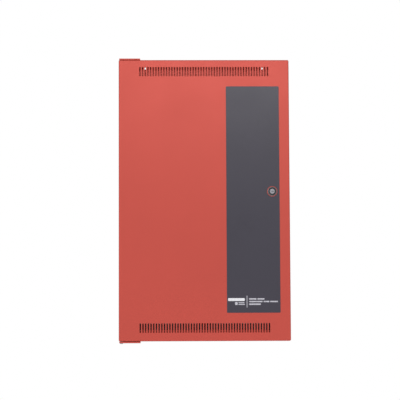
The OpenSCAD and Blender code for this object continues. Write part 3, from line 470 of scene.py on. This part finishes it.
film_rings = [film_ring(0.18, door_front + label_t), film_ring(0.05, door_front + label_t - 0.06),
              film_ring(0, door_front + label_t - 0.18), film_ring(0, door_front)]
for low, high in zip(film_rings, film_rings[1:]):
    for k in range(28):
        film.faces.new((low[k], low[(k + 1) % 28], high[(k + 1) % 28], high[k]))
front_hole, back_hole = punched(
    film, round_hole(12.4, 56), lambda a, b, d: at(lock_x + a, lock_up + b, door_front + label_t - d),
    label_t, 0.12)
fill_between(film, film_rings[0], [front_hole])
fill_between(film, film_rings[-1], [back_hole])
built("label", film, label_film, "door", ["door_label"])

print_white = finish("label_print", (0.55, 0.54, 0.60), 0.5, tone=(220, 0.5), grained=(2500, 0.004),
                     spread=0.1)
print_grey = finish("label_rule", (0.30, 0.29, 0.33), 0.5, tone=(220, 0.2), grained=(2500, 0.004),
                    spread=0.1)


def printed(name, bars, material):
    """Thin bars of ink on the label, each by its left, right, top and foot, with round ends."""
    ink = bmesh.new()
    for left, right, high, low in bars:
        r = min(high - low, right - left) * 0.3
        top_ring, ring = ([ink.verts.new(at(
            (right - r if sx > 0 else left + r) + (r - inset) * cos(radians(90 * i + 22.5 * j)),
            (high - r if sy > 0 else low + r) + (r - inset) * sin(radians(90 * i + 22.5 * j)),
            door_front + label_t + over))
            for i, (sx, sy) in enumerate(quarters) for j in range(5)]
            for inset, over in ((0.1, 0.03), (0, -0.05)))
        ink.faces.new(top_ring)
        for j in range(20):
            ink.faces.new((top_ring[j], ring[j], ring[(j + 1) % 20], top_ring[(j + 1) % 20]))
    built(name, ink, material, "door")


mark_bars = [(54.8, 94.5, -234.6, -241.4)]
line_bars = [(71.2, 77.6, -243.8, -250.8), (79.4, 93.6, -244.2, -246.6), (79.4, 94.4, -248.2, -250.6),
             (104.5, 122.2, -234.9, -238.4), (124.4, 141.0, -234.9, -238.4),
             (104.5, 136.6, -241.2, -244.4), (138.8, 152.4, -241.2, -244.4), (154.6, 173.0, -241.2, -244.4),
             (104.5, 132.5, -247.2, -250.8)]
printed("label_mark", mark_bars, finish(
    "label_mark_ink", (0.86, 0.86, 0.90), 0.5, tone=(220, 0.2), grained=(2500, 0.004), spread=0.1))
printed("label_lines", line_bars, print_white)
printed("label_divider", [(98.2, 101.2, -228.6, -257.0)], print_grey)


# Lock: a turned zinc body in black with a bevelled bezel, its threaded barrel flattened on two
# sides, held by a nut behind the door. Its bright key plug has a level keyway and turns the cam.
tree = started("lock_black")
lock_place = node_in(tree, "TexCoord")
lock_faces = node_in(tree, "SeparateXYZ", {"Vector": lock_place.outputs["Normal"]})
lock_bevel = node_in(tree, "MapRange", {
    "Value": lock_faces.outputs["Y"], "From Min": -0.97, "From Max": -0.90})
lock_rubbed = blended(tree, lock_bevel.outputs[0], (0.018, 0.017, 0.020, 1), (0.34, 0.34, 0.37, 1))
lock_black = finish("lock_black", lock_rubbed, 0.20, tone=(90, 0.2), grained=(1300, 0.006), spread=0.10)
tree.links.new(lock_bevel.outputs[0], tree.nodes["Principled BSDF"].inputs["Metallic"])
lock_chrome = finish("lock_chrome", (0.36, 0.36, 0.39), 0.22, tone=(90, 0.1), grained=(1800, 0.004),
                     spread=0.10, Metallic=1.0)
zinc = finish("zinc_plated_steel", (0.58, 0.59, 0.60), 0.34, tone=(45, 0.16), grained=(420, 0.006),
              spread=0.22, Metallic=1.0)


def turned(mesh, rings, centre_x, centre_up, steps=72, flat=None, close=False):
    """A turned form from its rings (radius, out), with two flats above and below where asked."""
    made = []
    for r, out in rings:
        ring = []
        for k in range(steps):
            a, b = r * cos(2 * pi * k / steps), r * sin(2 * pi * k / steps)
            if flat and out < door_front - 0.01:
                b = max(-flat, min(flat, b))
            ring.append(mesh.verts.new(at(centre_x + a, centre_up + b, out)))
        made.append(ring)
    for low, high in zip(made, made[1:] + (made[:1] if close else [])):
        for k in range(steps):
            mesh.faces.new((low[k], low[(k + 1) % steps], high[(k + 1) % steps], high[k]))


lock = bmesh.new()
barrel_r, barrel_back, bore_r, recess_r, bevel_r = 9.5, 97, 5.25, 5.9, 1.8
thread = [(barrel_r - 0.35 * (k % 2), 116.4 - 0.5 * k) for k in range(38)]
bevel = [(9.2 + bevel_r * sin(radians(a)), 119.8 + bevel_r * cos(radians(a))) for a in range(0, 91, 10)]
turned(lock, [
    (recess_r, 121.55), (6.1, 121.6), *bevel, (11.0, 118.25), (10.85, door_front), (barrel_r, door_front),
    *thread, (9.3, 97.3), (8.9, barrel_back), (5.3, barrel_back), (bore_r, 97.1), (bore_r, 119.9),
    (recess_r, 119.95)], lock_x, lock_up, flat=8, close=True)
built("lock_case", lock, lock_black, "door", ["lock_body"], sharp=30)
keep(["lock_nut", "lock_cam", "cam_screw"], zinc, 0.3)
keep(["lock_plug"], lock_chrome, 0.25)


# Chassis: a plated steel plate with two folded edges on six studs, its nuts, the standoffs and
# all the screws. Plated parts are bright with a cloudy, slightly warm cast.
brass = finish("standoff_brass", (0.70, 0.52, 0.26), 0.30, tone=(90, 0.12), grained=(1500, 0.004),
               spread=0.15, Metallic=1.0)
keep(["chassis_plate", "battery_bar", "mains_transformer_frame"], zinc, 0.25)
keep(["chassis_studs", "hex_nuts", "screws_and_bolts", "toroid_washer"], zinc, 0.2)
keep(["board_standoffs"], brass, 0.2)
keep(["terminal_screws"], zinc, 0.1)


# Circuit boards: green glass-fibre laminate, 1.6 mm thick. Copper tracks show through the solder
# mask as paler lines, and white outlines are printed round the parts.
tree = started("board_laminate")
board_place = node_in(tree, "TexCoord")
board_axes = node_in(tree, "SeparateXYZ", {"Vector": board_place.outputs["Object"]})
board_flat = node_in(tree, "CombineXYZ", {"X": board_axes.outputs["X"], "Y": board_axes.outputs["Z"]})
tracks = node_in(tree, "TexBrick", {
    "Vector": board_flat.outputs[0], "Color1": (0.012, 0.105, 0.045, 1), "Color2": (0.016, 0.135, 0.058, 1),
    "Mortar": (0.035, 0.24, 0.11, 1), "Scale": 62.0, "Mortar Size": 0.035, "Mortar Smooth": 0.1,
    "Brick Width": 1.3, "Row Height": 0.16}, offset=0.37, squash=0.5)
more_tracks = node_in(tree, "TexBrick", {
    "Vector": board_flat.outputs[0], "Color1": (0, 0, 0, 1), "Color2": (0, 0, 0, 1),
    "Mortar": (1, 1, 1, 1), "Scale": 40.0, "Mortar Size": 0.03, "Brick Width": 0.13, "Row Height": 1.1},
    offset=0.21)
patches = node_in(tree, "TexVoronoi", {"Vector": board_flat.outputs[0], "Scale": 46.0}, distance="MANHATTAN")
patch_mask = node_in(tree, "MapRange", {"Value": patches.outputs["Color"], "From Min": 0.5, "From Max": 0.52})
track_share = node_in(tree, "Math", {0: more_tracks.outputs["Color"], 1: patch_mask.outputs[0]},
                      operation="MULTIPLY")
board_colour = blended(tree, track_share.outputs[0], tracks.outputs["Color"], (0.035, 0.24, 0.11, 1))
laminate = finish("board_laminate", board_colour, 0.32, tone=(40, 0.12), grained=(1600, 0.008),
                  spread=0.12)
keep(["main_board", "charger_board", "amplifier_board"], laminate, 0.15)


def on_board(board):
    """The lower left corner of a board and its face, in millimetres."""
    low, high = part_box(board)
    return low.x * 1000, low.z * 1000, -low.y * 1000


main_x, main_up, board_face = on_board("main_board")
charger_x, charger_up, _ = on_board("charger_board")
main_chips = [(50, 108, 28, 28, 2.6), (98, 116, 12, 22, 3), (20, 112, 10, 20, 3), (24, 156, 18, 10, 3),
              (60, 156, 18, 10, 3), (96, 156, 18, 10, 3), (118, 110, 8, 14, 2.4), (20, 84, 14, 9, 2.4)]
charger_chips = [(18, 22, 20, 9, 3), (112, 74, 12, 16, 4.6), (60, 24, 9, 9, 2.4)]
chips = [(main_x + x, main_up + y, w, h, t) for x, y, w, h, t in main_chips]
chips += [(charger_x + x, charger_up + y, w, h, t) for x, y, w, h, t in charger_chips]


def slab(mesh, low, high, edge=0.12):
    """A small block with its outer corners and edges broken."""
    (x0, y0, z0), (x1, y1, z1) = low, high
    rings = [[mesh.verts.new(at(x, y, z)) for x, y in (
        (x0 + edge + e, y0 + e), (x1 - edge - e, y0 + e), (x1 - e, y0 + edge + e), (x1 - e, y1 - edge - e),
        (x1 - edge - e, y1 - e), (x0 + edge + e, y1 - e), (x0 + e, y1 - edge - e), (x0 + e, y0 + edge + e))]
        for e, z in ((0, z0), (0, z1 - edge), (edge, z1))]
    for low_ring, high_ring in zip(rings, rings[1:]):
        for k in range(8):
            mesh.faces.new((low_ring[k], low_ring[(k + 1) % 8], high_ring[(k + 1) % 8], high_ring[k]))
    mesh.faces.new(rings[0])
    mesh.faces.new(rings[-1])


def frame_of_ink(mesh, x0, y0, x1, y1, out, w=0.35):
    """A printed rectangle's four strips."""
    for a, b, c, d in ((x0, y0, x1, y0 + w), (x0, y1 - w, x1, y1), (x0, y0 + w, x0 + w, y1 - w),
                       (x1 - w, y0 + w, x1, y1 - w)):
        slab(mesh, (a, b, out), (c, d, out + 0.05), 0.02)


outlines = bmesh.new()
for x, y, w, h, t in chips:
    frame_of_ink(outlines, x - 2.6, y - 2.6, x + w + 2.6, y + h + 2.6, board_face)
for i in range(6):
    frame_of_ink(outlines, main_x + 13 + i * 25, main_up + 199, main_x + 27 + i * 25, main_up + 229,
                 board_face)
for x, w in ((12, 40), (64, 40), (116, 40)):
    frame_of_ink(outlines, main_x + x - 1, main_up + 232.4, main_x + x + w + 1, main_up + 233,
                 board_face)
for i in range(8):
    frame_of_ink(outlines, main_x + 17.6 + i * 14, main_up + 21.6, main_x + 22.4 + i * 14, main_up + 26.4,
                 board_face)
print_ink = finish("board_print", (0.72, 0.73, 0.70), 0.6, tone=(150, 0.15), grained=(2000, 0.004),
                   spread=0.1)
built("board_outlines", outlines, print_ink, "cabinet")


# Chips and small parts: moulded black packages on bent tinned legs, and rows of resistors and
# capacitors a few millimetres long, soldered by their tinned ends.
resin = finish("chip_resin", (0.022, 0.022, 0.024), 0.48, tone=(120, 0.2), grained=(2200, 0.015),
               spread=0.12)
tin = finish("tinned_legs", (0.70, 0.71, 0.73), 0.28, tone=(200, 0.12), grained=(2500, 0.006), spread=0.15,
             Metallic=1.0)
keep(["board_chips", "output_transistors"], resin, 0.25)
legs = bmesh.new()
for x, y, w, h, t in chips:
    count = max(4, int(max(w, h) / 1.6))
    sides = ((1, 0), (-1, 0)) if h >= w else ((0, 1), (0, -1))
    if w == h:
        sides = ((1, 0), (-1, 0), (0, 1), (0, -1))
    for sx, sy in sides:
        span = h if sx else w
        for k in range(count):
            along = (k + 0.5) * span / count - span / 2
            cx, cy = x + w / 2, y + h / 2
            path = [(0, t * 0.55), (0.7, t * 0.55), (1.0, t * 0.5), (1.2, 0.35), (1.5, 0.12), (2.2, 0.12)]
            rows = []
            for reach, rise in path:
                px = cx + sx * (w / 2 + reach) if sx else cx + along
                py = cy + sy * (h / 2 + reach) if sy else cy + along
                dx, dy = (0, 0.28) if sx else (0.28, 0)
                rows.append([legs.verts.new(at(px + dx * a, py + dy * a, board_face + rise + b))
                             for a, b in ((-1, 0), (1, 0), (1, 0.15), (-1, 0.15))])
            for low, high in zip(rows, rows[1:]):
                for j in range(4):
                    legs.faces.new((low[j], low[(j + 1) % 4], high[(j + 1) % 4], high[j]))
            legs.faces.new(rows[0])
            legs.faces.new(rows[-1])
built("chip_legs", legs, tin, "cabinet")

chance = random.Random(7)
taken = [(x - 3.5, y - 3.5, x + w + 3.5, y + h + 3.5) for x, y, w, h, t in chips]
main_fittings = ((12, 196, 155, 250), (0, 12, 122, 30), (130, 30, 150, 96), (0, 130, 14, 178),
                 (16, 40, 106, 64))
charger_fittings = ((8, 48, 100, 80), (50, 0, 140, 18), (126, 36, 150, 72))
for board_x, board_up, fittings in ((main_x, main_up, main_fittings),
                                    (charger_x, charger_up, charger_fittings)):
    taken += [(board_x + p, board_up + q, board_x + r, board_up + s) for p, q, r, s in fittings]
small_bodies, small_ends = bmesh.new(), bmesh.new()
for board_x, board_up, board_w, board_h, rows, columns in (
        (main_x, main_up, 170, 250, 22, 17), (charger_x, charger_up, 170, 100, 9, 17)):
    for i in range(columns):
        for j in range(rows):
            x = board_x + 12 + i * (board_w - 24) / (columns - 1) + chance.uniform(-1, 1)
            y = board_up + 12 + j * (board_h - 24) / (rows - 1) + chance.uniform(-1, 1)
            upright = chance.random() < 0.5
            size = chance.choice(((1.6, 0.8, 0.6), (2.0, 1.25, 0.8), (3.2, 1.6, 1.0)))
            if chance.random() < 0.35:
                continue
            a, b = (size[1] / 2, size[0] / 2) if upright else (size[0] / 2, size[1] / 2)
            if any(x + a > p and x - a < r and y + b > q and y - b < s for p, q, r, s in taken):
                continue
            part_top = board_face + size[2]
            body_a, body_b = (a, b * 0.7) if upright else (a * 0.7, b)
            slab(small_bodies, (x - body_a, y - body_b, board_face + 0.05),
                 (x + body_a, y + body_b, part_top), 0.1)
            for end in (-1, 1):
                if upright:
                    slab(small_ends, (x - a - 0.05, y + end * b * 0.82 - b * 0.18, board_face),
                         (x + a + 0.05, y + end * b * 0.82 + b * 0.18, part_top + 0.05), 0.08)
                else:
                    slab(small_ends, (x + end * a * 0.82 - a * 0.18, y - b - 0.05, board_face),
                         (x + end * a * 0.82 + a * 0.18, y + b + 0.05, part_top + 0.05), 0.08)
small_resin = finish("small_part_bodies", (0.10, 0.085, 0.07), 0.4, tone=(130, 1.2), grained=(2200, 0.006),
                     spread=0.1)
built("small_parts", small_bodies, small_resin, "cabinet")
built("small_part_ends", small_ends, tin, "cabinet")


# Board fittings: green moulded terminal blocks, relays in pale cases, sleeved capacitors with
# bare aluminium tops, clear lamps, and the switch, button and trimmer that are set by hand.
block_green = finish("terminal_plastic", (0.03, 0.22, 0.09), 0.42, tone=(80, 0.12), grained=(1300, 0.02),
                     spread=0.12)
keep(["terminal_blocks"], block_green, 0.2)
keep(["relays"], finish("relay_plastic", (0.72, 0.72, 0.68), 0.36, tone=(70, 0.08), grained=(1300, 0.01),
                        spread=0.12), 0.5)
keep(["status_lamps"], finish("lamp_lens", (0.86, 0.60, 0.12), 0.14, tone=(150, 0.2), grained=(1500, 0.002),
                              spread=0.08, Transmission_Weight=0.35), 0.4)
keep(["dip_switch_body"], finish("switch_plastic", (0.50, 0.025, 0.02), 0.38, tone=(120, 0.1),
                                 grained=(1800, 0.008), spread=0.1), 0.12)
keep(["dip_lever_%d" % k for k in (1, 2, 3, 4)], finish(
    "lever_plastic", (0.80, 0.80, 0.77), 0.35, tone=(120, 0.08), grained=(1800, 0.006), spread=0.1), 0.1)
keep(["button_housing"], finish("button_case", (0.03, 0.03, 0.032), 0.4, tone=(120, 0.2),
                                grained=(1800, 0.01), spread=0.1), 0.2)
keep(["reset_button"], finish("button_plastic", (0.55, 0.03, 0.02), 0.33, tone=(120, 0.1),
                              grained=(1800, 0.006), spread=0.1), 0.3)
keep(["gain_trimmer_body"], finish("trimmer_plastic", (0.02, 0.10, 0.42), 0.36, tone=(120, 0.12),
                                   grained=(1800, 0.008), spread=0.1), 0.2)
keep(["gain_trimmer_rotor"], bpy.data.materials["lever_plastic"], 0.12)

tree = started("capacitor_sleeve")
can_place = node_in(tree, "TexCoord")
can_faces = node_in(tree, "SeparateXYZ", {"Vector": can_place.outputs["Normal"]})
can_top = node_in(tree, "MapRange", {"Value": can_faces.outputs["Y"], "From Min": -0.9, "From Max": -0.97})
can_stripe = node_in(tree, "MapRange", {"Value": can_faces.outputs["X"], "From Min": 0.93, "From Max": 0.95})
can_side = blended(tree, can_stripe.outputs[0], (0.012, 0.016, 0.05, 1), (0.45, 0.47, 0.55, 1))
can_colour = blended(tree, can_top.outputs[0], can_side, (0.62, 0.62, 0.63, 1))
sleeve = finish("capacitor_sleeve", can_colour, 0.3, tone=(90, 0.1), grained=(1200, 0.01), spread=0.12)
tree.links.new(can_top.outputs[0], tree.nodes["Principled BSDF"].inputs["Metallic"])
keep(["filter_capacitors"], sleeve, 0.5)


# Heat sink: a black anodised aluminium extrusion, with the fine lines of the die running down
# its fins.
anodised = finish("anodised_aluminium", (0.035, 0.035, 0.038), 0.36, tone=(30, 0.15), grained=(900, 0.03),
                  spread=0.16, stretch=(1, 1, 0.02), dusty=0.5, Metallic=0.6)
keep(["heat_sink"], anodised, 0.3)


# Toroid: a ring core with its winding under overlapping turns of polyester tape, clamped between
# two rubber pads by a dished washer and one long bolt.
tape = finish("toroid_tape", (0.62, 0.47, 0.10), 0.26, tone=(60, 0.14), grained=(500, 0.03), spread=0.15,
              Coat_Weight=0.4)
low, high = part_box("toroid_transformer")
ring_x, ring_up = (low.x + high.x) * 500, (low.z + high.z) * 500
ring_low, ring_high, ring_r, core_r = -high.y * 1000, -low.y * 1000, (high.x - low.x) * 500, 16
around, across, turns = 288, 36, 32
toroid = bmesh.new()
rows = []
half_h, half_w, mid_r = (ring_high - ring_low) / 2, (ring_r - core_r) / 2, (ring_r + core_r) / 2
for i in range(around):
    a = 2 * pi * i / around
    row = []
    for j in range(across):
        b = 2 * pi * j / across
        lap = (turns * i / around + j / across) % 1.0
        tight = 1 - 0.022 * min(lap * 6, 1) * (1 - 0.5 * lap)
        dx = half_w * tight * (abs(cos(b)) ** 0.55) * (1 if cos(b) > 0 else -1)
        dz = half_h * tight * (abs(sin(b)) ** 0.55) * (1 if sin(b) > 0 else -1)
        r = mid_r + dx
        row.append(toroid.verts.new(at(ring_x + r * cos(a), ring_up + r * sin(a), ring_low + half_h + dz)))
    rows.append(row)
for i in range(around):
    for j in range(across):
        toroid.faces.new((rows[i][j], rows[(i + 1) % around][j], rows[(i + 1) % around][(j + 1) % across],
                          rows[i][(j + 1) % across]))
built("toroid_winding", toroid, tape, "cabinet", ["toroid_transformer"], sharp=60)
rubber = finish("black_rubber", (0.018, 0.018, 0.018), 0.62, tone=(80, 0.2), grained=(700, 0.03), spread=0.12)
keep(["toroid_pads", "battery_pads"], rubber, 0.5)


# Mains transformer: a stack of thin steel laminations round a taped coil, held by a plated steel
# strap with two feet.
sheet_phase = 12566.0  # radians to a metre, which puts a lamination every half millimetre
tree = started("lamination_steel")
core_place = node_in(tree, "TexCoord")
core_axes = node_in(tree, "SeparateXYZ", {"Vector": core_place.outputs["Object"]})
core_across = node_in(tree, "Math", {0: core_axes.outputs["Z"], 1: sheet_phase}, operation="MULTIPLY")
core_wave = node_in(tree, "Math", {0: core_across.outputs[0]}, operation="SINE")
core_edge = node_in(tree, "MapRange", {"Value": core_wave.outputs[0], "From Min": -0.9, "From Max": -0.3})
core_noise = node_in(tree, "TexNoise", {
    "Vector": core_place.outputs["Object"], "Scale": 130.0, "Detail": 5.0})
core_rust = node_in(tree, "MapRange", {
    "Value": core_noise.outputs["Fac"], "From Min": 0.55, "From Max": 0.75, "To Max": 0.6})
core_bare = blended(tree, core_edge.outputs[0], (0.03, 0.03, 0.035, 1), (0.22, 0.22, 0.23, 1))
core_colour = blended(tree, core_rust.outputs[0], core_bare, (0.16, 0.09, 0.06, 1))
lamination = finish("lamination_steel", core_colour, 0.42, tone=(60, 0.15), grained=(900, 0.02),
                    spread=0.2, dusty=0.4, Metallic=0.75)
keep(["mains_transformer_core"], lamination, 0.3)
keep(["mains_transformer_coil"], finish("coil_tape", (0.62, 0.50, 0.20), 0.35, tone=(70, 0.2),
                                        grained=(350, 0.08), spread=0.15, stretch=(0.2, 1, 1)), 0.8)


# Mains terminals and fuses: a black phenolic block under a clear cover, and two glass fuses with
# nickelled caps in open holders.
keep(["mains_terminal_block", "fuse_holders"], finish(
    "black_phenolic", (0.022, 0.020, 0.019), 0.36, tone=(80, 0.2), grained=(1000, 0.015), spread=0.14), 0.3)
keep(["mains_terminal_cover"], finish(
    "clear_polycarbonate", (0.92, 0.95, 0.96), 0.06, tone=(40, 0.03), grained=(300, 0.004), spread=0.04,
    Transmission_Weight=0.92), 0.15)
tree = started("fuse_glass")
fuse_place = node_in(tree, "TexCoord")
fuse_axes = node_in(tree, "SeparateXYZ", {"Vector": fuse_place.outputs["Object"]})
low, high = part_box("fuses")
cap_length = 0.0049
fuse_off = node_in(tree, "Math", {0: fuse_axes.outputs["Z"], 1: (low.z + high.z) / 2}, operation="SUBTRACT")
fuse_far = node_in(tree, "Math", {0: fuse_off.outputs[0]}, operation="ABSOLUTE")
fuse_cap = node_in(tree, "Math", {0: fuse_far.outputs[0], 1: (high.z - low.z) / 2 - cap_length},
                   operation="GREATER_THAN")
fuse_colour = blended(tree, fuse_cap.outputs[0], (0.75, 0.80, 0.80, 1), (0.62, 0.60, 0.56, 1))
fuse_glass = finish("fuse_glass", fuse_colour, 0.14, tone=(100, 0.08), grained=(900, 0.004), spread=0.08)
tree.links.new(fuse_cap.outputs[0], tree.nodes["Principled BSDF"].inputs["Metallic"])
keep(["fuses"], fuse_glass, 0.3)


# Batteries: two sealed lead-acid batteries in dark moulded cases, each with a lid sealed on all
# round, a row of vent covers under it, moulded ribs and a plain pale label.
case_black = finish("battery_case", (0.040, 0.041, 0.044), 0.45, tone=(18, 0.16), grained=(800, 0.03),
                    spread=0.14, dusty=0.35)
battery_paper = finish("battery_paper", (0.55, 0.55, 0.53), 0.5, tone=(40, 0.12), grained=(1500, 0.006),
                       spread=0.1)


def lidded(mesh, x0, x1, z0, z1, levels, corner=3.0):
    """An upright moulded case from its levels: (height, how far it is drawn in)."""
    rings = []
    for up, draw in levels:
        r = max(corner - draw * 0.5, 0.6)
        rings.append([mesh.verts.new(at(
            (x1 - draw - r if sx > 0 else x0 + draw + r) + r * cos(radians(90 * i + 18 * k)), up,
            (z1 - draw - r if sz > 0 else z0 + draw + r) + r * sin(radians(90 * i + 18 * k))))
            for i, (sx, sz) in enumerate(quarters) for k in range(6)])
    for low_ring, high_ring in zip(rings, rings[1:]):
        for k in range(24):
            mesh.faces.new((low_ring[k], low_ring[(k + 1) % 24], high_ring[(k + 1) % 24], high_ring[k]))
    mesh.faces.new(rings[0])
    mesh.faces.new(rings[-1])


for node in ("battery_left", "battery_right"):
    low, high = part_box(node)
    x0, x1, up0, up1 = low.x * 1000, high.x * 1000, low.z * 1000, high.z * 1000
    z0, z1 = -high.y * 1000, -low.y * 1000
    case = bmesh.new()
    lidded(case, x0, x1, z0, z1, (
        (up0, 1.2), (up0 + 0.6, 0.4), (up0 + 1.6, 0), (up1 - 27, 0), (up1 - 26.6, 0.5), (up1 - 25.8, 0.5),
        (up1 - 25.4, 0), (up1 - 7.2, 0), (up1 - 6.4, 0.3), (up1 - 5.6, 1.2), (up1 - 1.4, 1.2),
        (up1 - 0.5, 1.5), (up1, 2.3)))
    for k in range(6):
        x = x0 + (x1 - x0) * (k + 0.5) / 6
        slab(case, (x - 9, up1 - 22, z1 - 0.4), (x + 9, up1 - 11, z1 - 0.02), 0.3)
    built(node + "_case", case, case_black, "cabinet", [node], sharp=32)
    paper = bmesh.new()
    for foot, head in ((16, 56), (112, 132)):
        slab(paper, (x0 + 14, up0 + foot, z1 - 0.1), (x1 - 14, up0 + head, z1 + 0.1), 0.08)
    built(node + "_label", paper, battery_paper, "cabinet")
keep(["battery_terminals"], finish("terminal_lead", (0.46, 0.46, 0.48), 0.42, tone=(80, 0.15),
                                   grained=(700, 0.02), spread=0.15, Metallic=1.0), 0.3)


# Wiring: stranded leads in smooth PVC, each run between its two terminals, and a flat grey
# ribbon of moulded wires between two headers.
def insulation(name, colour):
    """The slightly glossy PVC of a lead."""
    return finish(name, colour, 0.36, tone=(60, 0.1), grained=(900, 0.01), spread=0.12)


keep(["battery_lead_red", "battery_link_lead"], insulation("red_insulation", (0.55, 0.018, 0.014)), 0, True)
keep(["battery_lead_black"], insulation("black_insulation", (0.018, 0.018, 0.02)), 0, True)
keep(["transformer_leads"], insulation("brown_insulation", (0.16, 0.06, 0.03)), 0, True)
wire_phase = 4947.0  # radians to a metre, which puts a wire every 1.27 mm
tree = started("ribbon_insulation")
ribbon_place = node_in(tree, "TexCoord")
ribbon_axes = node_in(tree, "SeparateXYZ", {"Vector": ribbon_place.outputs["Object"]})
ribbon_across = node_in(tree, "Math", {0: ribbon_axes.outputs["Z"], 1: wire_phase}, operation="MULTIPLY")
ribbon_wave = node_in(tree, "Math", {0: ribbon_across.outputs[0]}, operation="SINE")
# The darker lines between the wires are painted shade: they stand in for the shade that falls in the grooves
# of the moulding, over grey PVC that is one colour.
ribbon_groove_shade = node_in(tree, "MapRange", {
    "Value": ribbon_wave.outputs[0], "From Min": -1.0, "From Max": -0.4})
ribbon_colour = blended(tree, ribbon_groove_shade.outputs[0], (0.20, 0.20, 0.22, 1), (0.46, 0.47, 0.50, 1))
ribbon = finish("ribbon_insulation", ribbon_colour, 0.4, tone=(50, 0.08), grained=(900, 0.01), spread=0.1)
keep(["ribbon_cable"], ribbon, 0.1)
